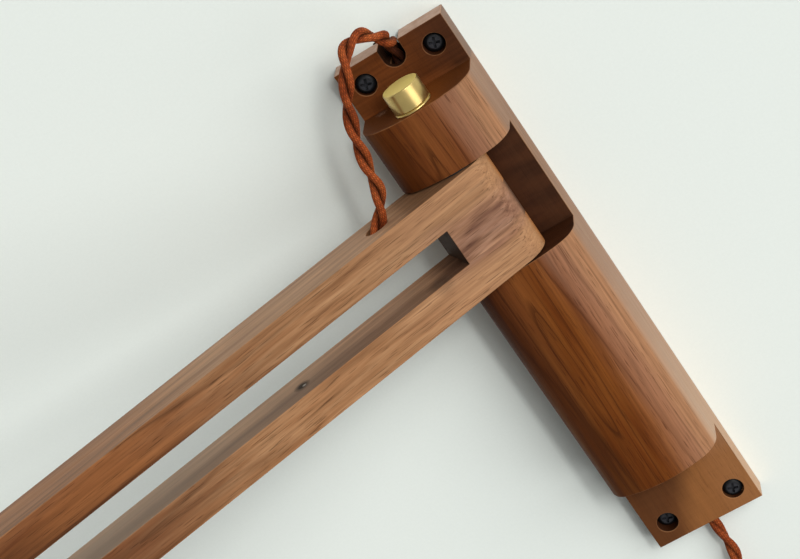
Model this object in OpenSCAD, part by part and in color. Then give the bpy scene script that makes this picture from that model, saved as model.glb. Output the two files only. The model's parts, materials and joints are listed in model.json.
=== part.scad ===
// Swing arm wall lamp: a walnut wall base carries a two-rail walnut arm on a hidden pin.
// Millimetres. X is to the right along the wall, Y into the wall, Z up.
// The origin is the centre of the four wall screws on the wall's surface.

/* [Wall base] */
// Width of the wall base
base_w = 50; // [48:1:60]
// Height of the wall base
base_h = 254; // [240:1:300]
// Thickness of the flat end tabs
tab_t = 10.7; // [10.4:0.1:13]
// Height of the top tab
top_tab_h = 22; // [20:1:30]
// Height of the bottom tab
bottom_tab_h = 41; // [30:1:50]
// Depth of the rounded body, out from the wall
body_depth = 36.5; // [36:0.5:42]
// Radius of the body's bowed front
front_r = 45; // [42:1:60]
// Radius of the body's front corners
corner_r = 12; // [8:0.5:13]
// Height of the block above the hinge slot
upper_block_h = 29.2; // [28:0.2:36]
// Distance from the wall to the hinge slot's floor
slot_floor = 13.5; // [12.5:0.5:15]
// Width of the notch in the top tab
notch_w = 9.5; // [9:0.5:12]
// Depth of the notch in the top tab
notch_depth = 9.8; // [9:0.2:11]

/* [Wall screws] */
// Distance from a screw to the base's long edge
screw_edge_x = 9; // [8:0.5:11]
// Distance from a screw to the end of its tab
screw_edge_z = 9.5; // [8:0.5:11]
// Diameter of the screw heads
screw_head_d = 8.4; // [7.6:0.1:9]
// Height of the screw heads
screw_head_h = 3; // [2.4:0.1:3.4]
// Diameter of the plain neck under the head
screw_neck_d = 4.6; // [4.4:0.1:5]
// Diameter over the thread
screw_thread_d = 4; // [3.6:0.1:4.2]
// Length of thread beyond the neck
screw_thread_l = 24; // [16:1:36]
// Clearance round a screw in its hole
screw_clear = 0.25; // [0.1:0.05:0.4]
// Clearance round a screw head in its counterbore
head_clear = 0.4; // [0.2:0.1:0.8]
// How far each head lies below the tab: top left, top right, bottom left, bottom right
head_sink = [0.4, 1.8, 3.6, 0.6];

/* [Hinge] */
// Diameter of the pivot pin
pin_d = 8; // [6:0.5:9]
// Radial running clearance of the arm's bushes on the pin
pin_clear = 0.05; // [0.03:0.01:0.1]
// Length of the pin's seat below the slot
pin_low_seat = 12; // [8:1:16]
// Length of the pin's seat above the slot
pin_top_seat = 8.2; // [6:0.2:9]
// Outside diameter of the arm's bushes
bush_d = 12; // [11:0.5:14]
// Outside diameter of the thrust washers
thrust_d = 20; // [14:1:23]
// Thickness of the thrust washers
thrust_t = 0.6; // [0.4:0.1:1]
// Running gap between a thrust washer and the arm
thrust_gap = 0.1; // [0.05:0.05:0.3]
// Gap between the arm's back and the slot's floor
floor_gap = 0.5; // [0.3:0.1:1]
// Thickness of the plate that holds the pin up
pin_plate_t = 2; // [1.5:0.5:3]
// Width of the pin plate
pin_plate_w = 15; // [12:1:16]

/* [Arm] */
// Angle of the arm out from the wall at rest
arm_angle = 26; // [20:1:40]
// Length from the pivot to the lampholder's axis
arm_len = 440; // [300:5:600]
// Thickness of the arm from front to back
arm_t = 24; // [22:0.5:26]
// Height of each rail
rail_h = 15.2; // [14:0.1:17]
// Height of the gap between the rails
rail_gap = 16.4; // [12:0.1:20]
// Length of the spacer blocks, measured from the pivot or the lampholder's axis
spacer_len = 21; // [18:1:30]
// Diameter of the dowels that join rails and spacers
dowel_d = 4; // [3:0.5:5]
// Depth of a dowel in each rail
dowel_depth = 9; // [5:1:11]
// Distance of the dowels from the pivot or the lampholder's axis
dowel_from_axis = 15; // [12:0.5:17]
// Distance of each dowel from the arm's middle plane
dowel_side = 7; // [6.6:0.2:8]
// Clearance in a glued or screwed joint
joint_clear = 0.05; // [0.02:0.01:0.1]
// Thickness of the strip that closes the cord channel
strip_t = 2.4; // [2:0.2:3]
// Width of the strip that closes the cord channel
strip_w = 17; // [16.6:0.2:19]
// Gap round the strip
strip_gap = 0.2; // [0.1:0.1:0.4]
// Number of screws along the strip
strip_screws = 4; // [2:1:8]
// Distance from the pivot to the cord hole in the arm's top
cord_hole_u = 40.5; // [38:0.5:43]
// Slope of the cord hole below the horizontal
cord_hole_slope = 51; // [45:1:60]

/* [Dimmer] */
// Diameter of the dimmer knob
knob_d = 16; // [15:0.5:20]
// Height of the dimmer knob
knob_h = 9; // [8:0.5:14]
// Distance of the knob's axis from the wall
knob_depth = 27.5; // [24:0.5:28]
// Distance of the knob's axis to the left of the middle
knob_left = 0.8; // [0:0.1:2]
// Diameter of the washer under the knob
knob_washer_d = 16.6; // [15:0.1:21]
// Thickness of the washer under the knob
knob_washer_t = 0.9; // [0.5:0.1:1.5]
// Running gap between the knob and the washer
knob_gap = 0.3; // [0.2:0.1:0.6]
// Diameter of the dimmer's shaft
shaft_d = 6; // [5:0.5:6.5]
// Radial running clearance of the shaft
shaft_clear = 0.05; // [0.03:0.01:0.1]
// Diameter of the dimmer's threaded neck
neck_d = 8; // [7.5:0.5:9]
// Width of the dimmer's nut across its flats
nut_flats = 10; // [9.5:0.5:11]
// Height of the dimmer's nut
nut_h = 2.2; // [1.5:0.1:3]
// Width of the dimmer's case
dimmer_w = 20; // [16:1:22]
// Depth of the dimmer's case
dimmer_depth = 16; // [14:1:17]
// Height of the dimmer's case
dimmer_h = 12; // [10:0.5:14]
// Wood between the dimmer's case and the body's top
dimmer_roof = 4; // [3:0.5:5]
// Width of the pocket for the dimmer
pocket_w = 24; // [23:0.5:25]
// Depth of the pocket for the dimmer, from the wall
pocket_depth = 32.5; // [32:0.1:33]
// Diameter of the knob's grub screw
grub_d = 3; // [2.5:0.5:4]

/* [Wiring] */
// Diameter of the twisted cord
cord_d = 6; // [5.5:0.5:6.5]
// Clearance round a cord that lies in a groove
cord_clear = 0.6; // [0.2:0.1:0.8]
// Depth of the power cord's axis from the wall
cord_depth = 5.4; // [5.2:0.1:5.6]
// Width of the terminal block
block_w = 16; // [14:1:20]
// Depth of the terminal block
block_depth = 10.5; // [9:0.5:11]
// Height of the terminal block
block_h = 11; // [9:0.5:12]
// Diameter of the terminal block's screws
terminal_d = 3; // [2.5:0.5:3.5]
// Diameter of the dimmer's leads
lead_d = 1.8; // [1.2:0.2:2.4]
// Distance between the dimmer's leads
lead_gap = 8; // [6:1:10]
// Outside diameter of the cord grips
grip_d = 10.4; // [9.6:0.2:11]
// Length of the cord grips
grip_l = 8; // [6:1:12]
// Width of the back cover
cover_w = 36; // [34:1:40]
// Thickness of the back cover
cover_t = 1.6; // [1.2:0.2:2]
// Gap round the back cover
cover_gap = 0.2; // [0.1:0.1:0.4]
// Height of the pocket below the pin, for fitting the pin
pin_pocket_h = 70; // [68:1:80]
// Width of the pocket below the pin
pin_pocket_w = 18; // [17:0.5:20]
// Depth of the pocket below the pin, from the wall
pin_pocket_depth = 32.5; // [32:0.1:33]
// Diameter of the small wood screws
small_screw_d = 2; // [1.6:0.2:2.4]
// Length of the small wood screws
small_screw_l = 7; // [5:0.5:8]
// Head diameter of the small wood screws
small_head_d = 4; // [3.6:0.2:4.6]

/* [Lampholder and bulb] */
// Outside diameter of the threaded stem
stem_d = 10; // [9.5:0.5:11]
// Bore of the threaded stem
stem_bore = 7.6; // [7.6:0.1:8]
// Width of the stem's nut across its flats
stem_nut_flats = 14; // [13:0.5:14]
// Height of the stem's nut
stem_nut_h = 3; // [2.5:0.5:4]
// Diameter of the wiring chamber in the tip spacer
chamber_d = 17; // [16.6:0.1:17.5]
// Diameter of the washer under the arm's tip
tip_washer_d = 22; // [18:1:24]
// Thickness of the washer under the arm's tip
tip_washer_t = 1.2; // [0.8:0.2:2]
// Outside diameter of the lampholder's cup
cup_d = 39; // [38:1:46]
// Height of the lampholder's cup
cup_h = 50; // [48:1:60]
// Wall of the lampholder's cup
cup_wall = 1.5; // [1.2:0.1:2]
// Thickness of the cup's top
cup_top_t = 3; // [2:0.5:4]
// Radius of the cup's shoulder
cup_shoulder_r = 6; // [3:0.5:10]
// Gap between the cup and the insulator
insulator_gap = 0.3; // [0.1:0.1:0.6]
// Height of the insulator
insulator_h = 36; // [34:1:38]
// Inside diameter of the screw shell
shell_bore = 27.2; // [27:0.1:27.4]
// Wall of the screw shell
shell_wall = 0.8; // [0.6:0.1:1.2]
// Height of the screw shell
shell_h = 24; // [20:1:26]
// Diameter of the bulb's cap
bulb_cap_d = 26.4; // [26:0.1:26.6]
// Height of the bulb's cap
bulb_cap_h = 22; // [20:1:24]
// Diameter of the bulb's globe
globe_d = 45; // [40:1:48]
// Thickness of the bulb's glass
glass_t = 1; // [0.8:0.1:1.4]
// Diameter of the bulb's neck
bulb_neck_d = 24; // [22:0.5:25]
// Thickness of the centre contact
contact_t = 1; // [0.6:0.2:1.6]

/* [Stored cord and plug] */
// Radius of the coil's outermost turn
coil_r = 42; // [40:1:48]
// Number of layers in the coil
coil_layers = 4; // [2:2:4]
// Turns in each layer
coil_layer_turns = 1.75; // [1.25:0.5:1.75]
// Distance between neighbouring turns
coil_pitch = 6.7; // [6.6:0.1:8]
// Width of the coil's tie
tie_w = 8; // [6:1:12]
// Thickness of the coil's tie
tie_t = 1.2; // [0.8:0.1:1.5]
// Gap between the tie and the turns
tie_gap = 0.4; // [0.4:0.1:0.6]
// Straight length of cord between the coil and the plug
plug_tail = 38; // [36:1:50]
// Diameter of the plug
plug_d = 24; // [22:1:26]
// Length of the plug's body
plug_l = 30; // [28:1:40]
// Length of the tapered strain relief on the plug
plug_relief_l = 22; // [20:1:40]
// Diameter of the strain relief where the cord goes in
plug_tip_d = 8; // [7.5:0.5:9]
// Diameter of the strain relief where it meets the plug's body
plug_neck_d = 11; // [10:0.5:14]
// Distance between the plug's pins
plug_pin_gap = 12.7; // [12:0.1:13.4]
// Width of a plug pin
plug_pin_w = 6.3; // [5.5:0.1:7]
// Thickness of a plug pin
plug_pin_t = 1.5; // [1.2:0.1:2]
// Length of a plug pin outside the plug
plug_pin_l = 18; // [14:1:20]
// Depth of a plug pin inside the plug
plug_pin_root = 8; // [6:1:12]

/* [Hidden] */
$fn = 64;
// Extra length of a cut past the face that it opens
cut = 1;

// Heights and depths that follow from the sizes above
base_top = base_h / 2;
base_low = -base_h / 2;
body_top = base_top - top_tab_h;
body_low = base_low + bottom_tab_h;
arm_h = 2 * rail_h + rail_gap;
slot_h = arm_h + 2 * (thrust_t + thrust_gap);
slot_top = body_top - upper_block_h;
slot_low = slot_top - slot_h;
pivot_y = -(slot_floor + floor_gap + arm_t / 2);
arm_low = slot_low + thrust_t + thrust_gap;
arm_top = arm_low + arm_h;
low_rail_top = arm_low + rail_h;
top_rail_low = arm_top - rail_h;
screw_x = base_w / 2 - screw_edge_x;
screw_z = base_h / 2 - screw_edge_z;
screw_places = [[-screw_x, screw_z], [screw_x, screw_z], [-screw_x, -screw_z], [screw_x, -screw_z]];
pin_low = slot_low - pin_low_seat;
pin_high = slot_top + pin_top_seat;
pocket_low = pin_high;
pocket_high = body_top - dimmer_roof;
groove_w = cord_d + 2 * cord_clear;
groove_depth = cord_depth + cord_d / 2 + cord_clear / 3;
// The loop's end inside the base lies closer to the wall than the power cord
loop_depth = 4;
loop_groove_depth = loop_depth + cord_d / 2 + cord_clear / 3;
loop_turn_z = base_top - 15;
cover_top = body_top - 2;
cover_low = pin_low - pin_pocket_h - 8;
cover_screw_x = cover_w / 2 - 3;
cover_screw_z = [cover_top - 5, (cover_top + cover_low) / 2, cover_low + 5];
cover_recess = cover_t + 0.1;

// Outline of the rounded body, seen from above
arc_y = front_r - body_depth;
corner_x = base_w / 2 - corner_r;
// The corners stand a little proud of the front's arc, so that the two cross instead of only touching
corner_proud = 0.06;
corner_y = sqrt(pow(front_r - corner_r, 2) - pow(corner_x, 2)) - arc_y + corner_proud;
arc_x = corner_x * front_r / (front_r - corner_r);

// Dimmer
washer_z = body_top + knob_washer_t;
nut_top = washer_z + nut_h;
knob_low = washer_z + knob_gap;
knob_top = knob_low + knob_h;
knob_recess_h = nut_h + 0.6;
knob_recess_d = nut_flats / cos(30) + 1;
knob_cap_t = 1.6;
knob_edge = 0.5;
shaft_low = pocket_high - 6;
grub_z = knob_low + knob_recess_h + (knob_h - knob_recess_h - knob_cap_t) / 2;
block_back = -(cover_recess + 0.4);
block_front = block_back - block_depth;
dimmer_front = -pocket_depth + 0.2;
dimmer_back = dimmer_front + dimmer_depth;
lead_z = (pocket_high - dimmer_h + pocket_low + block_h) / 2;

// Arm channel, measured along the arm from the pivot
channel_w = cord_d + 2 * cord_clear;
channel_low = top_rail_low + strip_t + 0.1;
channel_high = channel_low + cord_d + cord_clear;
arm_cord_z = channel_low + cord_d / 2 + 0.3;
arm_cord_start = 59.5;
arm_cord_bend = 12;
channel_start = 44;
cord_bend_l = 11;
cord_bend_room = 1.3;
strip_start = spacer_len + 2;
strip_end = arm_len - spacer_len - 2;
strip_screw_side = (channel_w + strip_w) / 4;

// Lampholder, measured down from the arm's tip
washer_low = arm_low - tip_washer_t;
cup_top = washer_low;
cup_low = cup_top - cup_h;
cup_ceiling = cup_top - cup_top_t;
insulator_low = cup_ceiling - insulator_h;
shell_low = insulator_low;
shell_top = shell_low + shell_h;
contact_low = shell_top - contact_t;
cap_top = contact_low - 2;
cap_low = cap_top - bulb_cap_h;
bulb_tip_d = 9;
globe_z = cap_low - 8 - sqrt(pow(globe_d / 2, 2) - pow(bulb_neck_d / 2, 2));
stem_top = low_rail_top + stem_nut_h + 1;
stem_low = cup_ceiling;
arm_cord_end = shell_top;

// Route of the loop of cord from the base to the arm, with heights from the base's top
loop_route = [
    for (p = [
        [0, -4, -14], [0, -4, -9.8], [0.7, -5.2, -5.5], [1.2, -7.8, -1.8], [1.9, -11.6, 0.9],
        [3, -16.1, 2.6], [3.2, -20.2, 4.9], [2.7, -24, 7.8], [1.2, -27.5, 10.6],
        [-0.7, -30.8, 13.6], [-3.2, -34.6, 15.4], [-5.8, -38.9, 15.4], [-8, -43.2, 13.6],
        [-9.8, -46.6, 10.1], [-12.1, -48.2, 5.8], [-14.7, -48.2, 1.3], [-17.1, -47.4, -3.2],
        [-19.3, -46.9, -7.9], [-21.1, -46.6, -12.7], [-22.5, -46.2, -17.7], [-23.7, -45.8, -22.6],
        [-24.9, -45.6, -27.6], [-25.7, -45.2, -32.6], [-26.7, -44.9, -37.5], [-28.7, -44.6, -42.1],
        [-31.1, -44.1, -46.6], [-34.3, -43.7, -50.3], [-37.7, -44.3, -53.8], [-40.6, -45.8, -57.6],
        [-44.2, -47.7, -60.3], [-48.5, -49.7, -61.2], [-53, -51.9, -61.3]
    ]) p + [0, 0, base_top]
];
// Route of the loop's first stretch, from the terminal block up behind the top tab
loop_inside_route = [
    [0, -cord_depth, pocket_low + block_h], [0, -cord_depth, body_top - 3],
    [0, -(cord_depth + loop_depth) / 2, body_top + 1], [0, -loop_depth, body_top + 5],
    loop_route[0]
];
// Route of the power cord from the base to the coil, with heights from the base's bottom
power_route = [
    for (p = [
        [0, 0, 0], [0, 0, -7], [0, -5.6, -19], [-3, -6, -32], [-9, -6, -45], [-17, -6, -57],
        [-24, -6, -69], [-28.5, -6, -81], [-30, -6, -94], [-30, -6, -101]
    ]) [p[0], p[1] == 0 ? -cord_depth : p[1], p[2] + base_low]
];
tube_sides = 10;
coil_sides = 6;
coil_steps = 24;

// The coil hangs flat against the wall, and its first turn starts at its left, going down
coil_start = power_route[len(power_route) - 1] - [0, 0, cord_d];
coil_centre = [coil_start[0] + coil_r, coil_start[2]];
coil_turns = coil_layers * coil_layer_turns;
coil_points = coil_turns * coil_steps;
coil_spread = coil_layer_turns * coil_pitch;
coil_front = coil_start[1] - (coil_layers - 1) * coil_pitch;

// Places children in the arm's frame: X along the arm, Y to its front, Z up
module in_arm() {
    translate([0, pivot_y, 0])
        rotate([0, 0, 180 + arm_angle])
            children();
}

// Turns children so that their Z axis points into the wall
module to_wall(x, y, z) {
    translate([x, y, z])
        rotate([-90, 0, 0])
            children();
}

// Upright cylinder between two heights
module post(d, low, high) {
    translate([0, 0, low])
        cylinder(d = d, h = high - low);
}

// Upright tube between two heights
module ring(d, bore, low, high) {
    difference() {
        post(d, low, high);
        post(bore, low - cut, high + cut);
    }
}

// Upright hexagonal nut between two heights
module hex_nut(flats, bore, low, high) {
    difference() {
        translate([0, 0, low])
            cylinder(d = flats / cos(30), h = high - low, $fn = 6);
        post(bore, low - cut, high + cut);
    }
}

// Box given by its two corners
module block(low, high) {
    translate(low)
        cube(high - low);
}

// Small wood screw with a flat countersunk head, its head at the origin and its point up
module small_screw() {
    head_h = (small_head_d - small_screw_d) / 2;
    point_h = small_screw_d;
    rotate_extrude()
        polygon([
            [0, 0], [small_head_d / 2, 0], [small_screw_d / 2, head_h],
            [small_screw_d / 2, small_screw_l - point_h], [0, small_screw_l]
        ]);
}

// Countersunk hole for a small wood screw through a sheet and into what lies behind it
module small_screw_hole() {
    grow = joint_clear;
    hole_d = small_screw_d + 2 * grow;
    head_d = small_head_d + 2 * grow;
    head_h = (head_d - hole_d) / 2;
    rotate_extrude()
        polygon([
            [0, -cut], [head_d / 2, -cut], [head_d / 2, 0], [hole_d / 2, head_h],
            [hole_d / 2, small_screw_l + grow], [0, small_screw_l + grow]
        ]);
}

// Swept tube
function unit(v) = v / norm(v);
function along(p, i) = unit(p[min(i + 1, len(p) - 1)] - p[max(i - 1, 0)]);
function carried(p, i, side) =
    i == len(p) ? [] :
    let (t = along(p, i), s = unit(side - (side * t) * t))
    concat([s], carried(p, i + 1, s));

module tube(p, d, sides, side) {
    normals = carried(p, 0, side);
    last = (len(p) - 1) * sides;
    points = [
        for (i = [0 : len(p) - 1])
            let (t = along(p, i), a = normals[i], b = cross(t, a))
            for (k = [0 : sides - 1])
                p[i] + d / 2 * (cos(360 * k / sides) * a + sin(360 * k / sides) * b)
    ];
    walls = [
        for (i = [0 : len(p) - 2])
            for (k = [0 : sides - 1])
                let (near = i * sides, far = near + sides, next = (k + 1) % sides)
                for (face = [
                    [near + k, far + k, far + next],
                    [near + k, far + next, near + next]
                ]) face
    ];
    caps = [
        for (k = [1 : sides - 2])
            for (face = [[0, k, k + 1], [last, last + k + 1, last + k]]) face
    ];
    polyhedron(points = points, faces = concat(walls, caps));
}

// The coil spirals in and out by turns, and climbs a layer in the half turn round each reversal
function wave(t) = abs((t / coil_layer_turns + 1) % 2 - 1);
function climbed(t) = [
    for (k = [1 : coil_layers - 1]) min(1, max(0, (t - k * coil_layer_turns) * 2 + 0.5))
] * [for (k = [1 : coil_layers - 1]) 1];
function coil_point(t) =
    let (r = coil_r - coil_spread * wave(t), a = 180 + 360 * t)
    [
        coil_centre[0] + r * cos(a),
        coil_start[1] - coil_pitch * climbed(t),
        coil_centre[1] + r * sin(a)
    ];
coil_turn_points = [for (i = [0 : coil_points]) coil_point(i / coil_steps)];
coil_route = concat(
    [coil_start + [0, 0, cord_d]],
    coil_turn_points,
    [
        [coil_start[0], coil_front, coil_start[2] - cord_d],
        [coil_start[0], coil_front, coil_start[2] - plug_tail]
    ]
);
plug_top = coil_start[2] - plug_tail;
plug_low = plug_top - plug_relief_l - plug_l;
coil_gap = min([
    for (i = [0 : coil_points - coil_steps / 2])
        for (j = [i + coil_steps / 2 : coil_points])
            norm(coil_turn_points[i] - coil_turn_points[j])
]) - cord_d;
echo(coil_least_gap = coil_gap);

module body_outline() {
    translate([-base_w / 2, -corner_y])
        square([base_w, corner_y]);
    for (side = [-1, 1])
        translate([side * corner_x, -corner_y])
            circle(r = corner_r);
    intersection() {
        translate([0, arc_y])
            circle(r = front_r);
        translate([-arc_x, -body_depth - cut])
            square([2 * arc_x, body_depth + cut]);
    }
}

module screw_holes() {
    for (i = [0 : len(screw_places) - 1]) {
        floor_y = -tab_t + head_sink[i] + screw_head_h;
        to_wall(screw_places[i][0], -tab_t - cut, screw_places[i][1])
            cylinder(d = screw_head_d + 2 * head_clear, h = floor_y + tab_t + cut);
        to_wall(screw_places[i][0], -tab_t, screw_places[i][1])
            cylinder(d = screw_neck_d + 2 * screw_clear, h = tab_t + cut);
    }
}

module tab_notch() {
    round_z = base_top - notch_depth + notch_w / 2;
    to_wall(0, -tab_t - cut, round_z)
        cylinder(d = notch_w, h = tab_t + 2 * cut);
    block([-notch_w / 2, -tab_t - cut, round_z], [notch_w / 2, cut, base_top + cut]);
}

module cord_grooves() {
    block([-groove_w / 2, -groove_depth, base_low - cut], [groove_w / 2, cut, pocket_low + cut]);
    block([-groove_w / 2, -groove_depth, pocket_high - cut], [groove_w / 2, cut, loop_turn_z]);
    block([-groove_w / 2, -loop_groove_depth, loop_turn_z - cut],
        [groove_w / 2, cut, base_top - notch_depth + notch_w / 2]);
}

module grip_seats() {
    seat_d = grip_d + 2 * joint_clear;
    for (z = [pocket_high, body_low + grip_l]) {
        low = z == pocket_high ? z - cut : z;
        high = z == pocket_high ? body_top : z + grip_l;
        translate([0, -cord_depth, 0])
            post(seat_d, low, high);
        block([-seat_d / 2, -cord_depth, low], [seat_d / 2, cut, high]);
    }
}

module wall_base() {
    color("#8a5230")
    difference() {
        union() {
            block([-base_w / 2, -tab_t, base_low], [base_w / 2, 0, base_top]);
            translate([0, 0, body_low])
                linear_extrude(body_top - body_low)
                    body_outline();
        }
        // Hinge slot across the whole body
        block([-base_w, -body_depth - cut, slot_low], [base_w, -slot_floor, slot_top]);
        tab_notch();
        screw_holes();
        cord_grooves();
        grip_seats();
        // Pocket for the dimmer and the terminal block
        block([-pocket_w / 2, -pocket_depth, pocket_low], [pocket_w / 2, cut, pocket_high]);
        // Pocket through which the pivot pin goes in
        block([-pin_pocket_w / 2, -pin_pocket_depth, pin_low - pin_pocket_h],
            [pin_pocket_w / 2, cut, pin_low]);
        translate([0, pivot_y, 0])
            post(pin_d + 2 * joint_clear, pin_low - cut, pin_high + cut);
        translate([-knob_left, -knob_depth, 0])
            post(neck_d + 2 * joint_clear, pocket_high - cut, body_top + cut);
        block([-cover_w / 2 - cover_gap, -cover_recess, cover_low - cover_gap],
            [cover_w / 2 + cover_gap, cut, cover_top + cover_gap]);
        cover_screw_holes();
        pin_plate_screw_holes();
    }
}

// The plain neck ends just before the wall, however deep the head lies
module wall_screw(sink) {
    thread_low = tab_t - sink - 0.1;
    point_l = 5;
    slot_w = 1.1;
    slot_l = screw_head_d * 0.55;
    slot_depth = 1.6;
    difference() {
        rotate_extrude()
            polygon([
                [0, 0], [screw_head_d * 0.3, 0], [screw_head_d / 2, screw_head_h * 0.45],
                [screw_head_d / 2, screw_head_h], [screw_neck_d / 2, screw_head_h],
                [screw_neck_d / 2, thread_low], [screw_thread_d / 2, thread_low],
                [screw_thread_d / 2, thread_low + screw_thread_l - point_l],
                [0, thread_low + screw_thread_l]
            ]);
        for (turn = [0, 90])
            rotate([0, 0, turn + 20])
                block([-slot_l / 2, -slot_w / 2, -cut], [slot_l / 2, slot_w / 2, slot_depth]);
    }
}

module wall_screws() {
    color("#1b1b1d")
    for (i = [0 : len(screw_places) - 1])
        to_wall(screw_places[i][0], -tab_t + head_sink[i], screw_places[i][1])
            wall_screw(head_sink[i]);
}

module at_cover_screws() {
    for (z = cover_screw_z)
        for (side = [-1, 1])
            translate([side * cover_screw_x, -(cover_recess - cover_t), z])
                rotate([90, 0, 0])
                    children();
}

module cover_screw_holes() {
    at_cover_screws()
        small_screw_hole();
}

module back_cover() {
    color("#2b2724")
    difference() {
        block([-cover_w / 2, -cover_recess, cover_low], [cover_w / 2, -(cover_recess - cover_t), cover_top]);
        cover_screw_holes();
    }
}

module back_cover_screws() {
    color("#3a3a3c")
    at_cover_screws()
        small_screw();
}

module pivot_pin() {
    color("#b9bcc0")
    translate([0, pivot_y, 0])
        post(pin_d, pin_low, pin_high);
}

// The plate lies under the pin, and its two screws stand nearer the wall
module at_pin_plate_screws() {
    for (side = [-1, 1])
        translate([side * pin_plate_w / 4, pivot_y + pin_d, pin_low - pin_plate_t])
            children();
}

module pin_plate_screw_holes() {
    at_pin_plate_screws()
        small_screw_hole();
}

module pin_plate() {
    front_y = max(pivot_y - pin_d / 2, -pin_pocket_depth + 0.5);
    color("#9a9da1")
    difference() {
        block([-pin_plate_w / 2, front_y, pin_low - pin_plate_t],
            [pin_plate_w / 2, pivot_y + pin_d * 1.5, pin_low]);
        pin_plate_screw_holes();
    }
}

module pin_plate_screws() {
    color("#c9cbce")
    at_pin_plate_screws()
        small_screw();
}

module upper_thrust_washer() {
    color("#e8e6de")
    translate([0, pivot_y, 0])
        ring(thrust_d, pin_d + 4 * joint_clear, slot_top - thrust_t, slot_top);
}

module lower_thrust_washer() {
    color("#e8e6de")
    translate([0, pivot_y, 0])
        ring(thrust_d, pin_d + 4 * joint_clear, slot_low, slot_low + thrust_t);
}

module at_knob() {
    translate([-knob_left, -knob_depth, 0])
        children();
}

module dimmer_case() {
    color("#232428")
    difference() {
        union() {
            block([-knob_left - dimmer_w / 2, dimmer_front, pocket_high - dimmer_h],
                [-knob_left + dimmer_w / 2, dimmer_back, pocket_high]);
            at_knob()
                post(neck_d, pocket_high, nut_top);
        }
        at_knob()
            post(shaft_d + 2 * shaft_clear, shaft_low, nut_top + cut);
    }
}

module dimmer_nut() {
    color("#b98f3d")
    at_knob()
        hex_nut(nut_flats, neck_d + 2 * joint_clear, washer_z, nut_top);
}

module knob_washer() {
    color("#c8a552")
    at_knob()
        ring(knob_washer_d, neck_d + 2 * joint_clear, body_top, washer_z);
}

module dimmer_shaft() {
    color("#a8abb0")
    at_knob()
        post(shaft_d, shaft_low + shaft_clear, knob_top - knob_cap_t);
}

module grub_hole() {
    at_knob()
        to_wall(0, 0, grub_z)
            cylinder(d = grub_d + 2 * joint_clear, h = knob_d);
}

module dimmer_knob() {
    color("#caa34d")
    difference() {
        at_knob()
            rotate_extrude()
                polygon([
                    [0, knob_low], [knob_d / 2 - knob_edge, knob_low], [knob_d / 2, knob_low + knob_edge],
                    [knob_d / 2, knob_top - knob_edge], [knob_d / 2 - knob_edge, knob_top], [0, knob_top]
                ]);
        at_knob()
            post(knob_recess_d, knob_low - cut, knob_low + knob_recess_h);
        at_knob()
            post(shaft_d + 2 * joint_clear, knob_low, knob_top - knob_cap_t);
        grub_hole();
    }
}

module knob_grub_screw() {
    socket_flats = grub_d * 0.5;
    length = (knob_d - shaft_d) / 2 - 0.8;
    color("#4a4a4d")
    at_knob()
        to_wall(0, shaft_d / 2 + joint_clear, grub_z)
            difference() {
                cylinder(d = grub_d, h = length);
                translate([0, 0, length - socket_flats])
                    cylinder(d = socket_flats / cos(30), h = socket_flats + cut, $fn = 6);
            }
}

module at_terminals() {
    for (side = [-1, 1])
        for (row = [0.3, 0.75])
            to_wall(side * block_w / 4, block_back - 3, pocket_low + row * block_h)
                children();
}

module terminal_block() {
    color("#e4e1d6")
    difference() {
        block([-block_w / 2, block_front, pocket_low], [block_w / 2, block_back, pocket_low + block_h]);
        at_terminals()
            cylinder(d = terminal_d + 2 * joint_clear, h = 3 + cut);
    }
}

module terminal_screws() {
    color("#c2a860")
    at_terminals()
        cylinder(d = terminal_d, h = 2.4);
}

module dimmer_leads() {
    color("#a03a2a")
    for (side = [-1, 1])
        to_wall(side * lead_gap / 2, dimmer_back, lead_z)
            cylinder(d = lead_d, h = block_front - dimmer_back);
}

// Nylon saddle round a cord, open towards the wall
module cord_grip(low, high) {
    color("#d9d5c8")
    difference() {
        translate([0, -cord_depth, 0])
            ring(grip_d, cord_d + 2 * joint_clear, low, high);
        block([-grip_d, -cord_depth + cord_d / 4, low - cut], [grip_d, grip_d, high + cut]);
    }
}

module loop_cord_grip() {
    cord_grip(pocket_high - 3, cover_top);
}

module power_cord_grip() {
    cord_grip(body_low + grip_l, body_low + 2 * grip_l);
}

module power_cord_inside() {
    color("#93461f")
    translate([0, -cord_depth, 0])
        post(cord_d, base_low, pocket_low);
}

module loop_cord_inside() {
    color("#93461f")
    tube(loop_inside_route, cord_d, tube_sides, [1, 0, 0]);
}

module loop_cord() {
    color("#93461f")
    tube(loop_route, cord_d, tube_sides, [1, 0, 0]);
}

module power_cord() {
    color("#93461f")
    tube(power_route, cord_d, tube_sides, [1, 0, 0]);
}

module power_cord_coil() {
    color("#93461f")
    tube(coil_route, cord_d, coil_sides, [1, 0, 0]);
}

module coil_tie() {
    inner = coil_r - coil_spread - cord_d / 2 - tie_gap;
    outer = coil_r + cord_d / 2 + tie_gap;
    back = coil_start[1] + cord_d / 2 + tie_gap;
    front = coil_front - cord_d / 2 - tie_gap;
    color("#3b2418")
    translate([coil_centre[0], 0, coil_centre[1]])
        difference() {
            block([inner - tie_t, front - tie_t, -tie_w / 2], [outer + tie_t, back + tie_t, tie_w / 2]);
            block([inner, front, -tie_w], [outer, back, tie_w]);
        }
}

module at_plug() {
    translate([coil_start[0], coil_front, 0])
        children();
}

module at_plug_pins(low, high) {
    at_plug()
        for (side = [-1, 1])
            translate([side * plug_pin_gap / 2, 0, 0])
                block([-plug_pin_t / 2, -plug_pin_w / 2, low], [plug_pin_t / 2, plug_pin_w / 2, high]);
}

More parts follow.
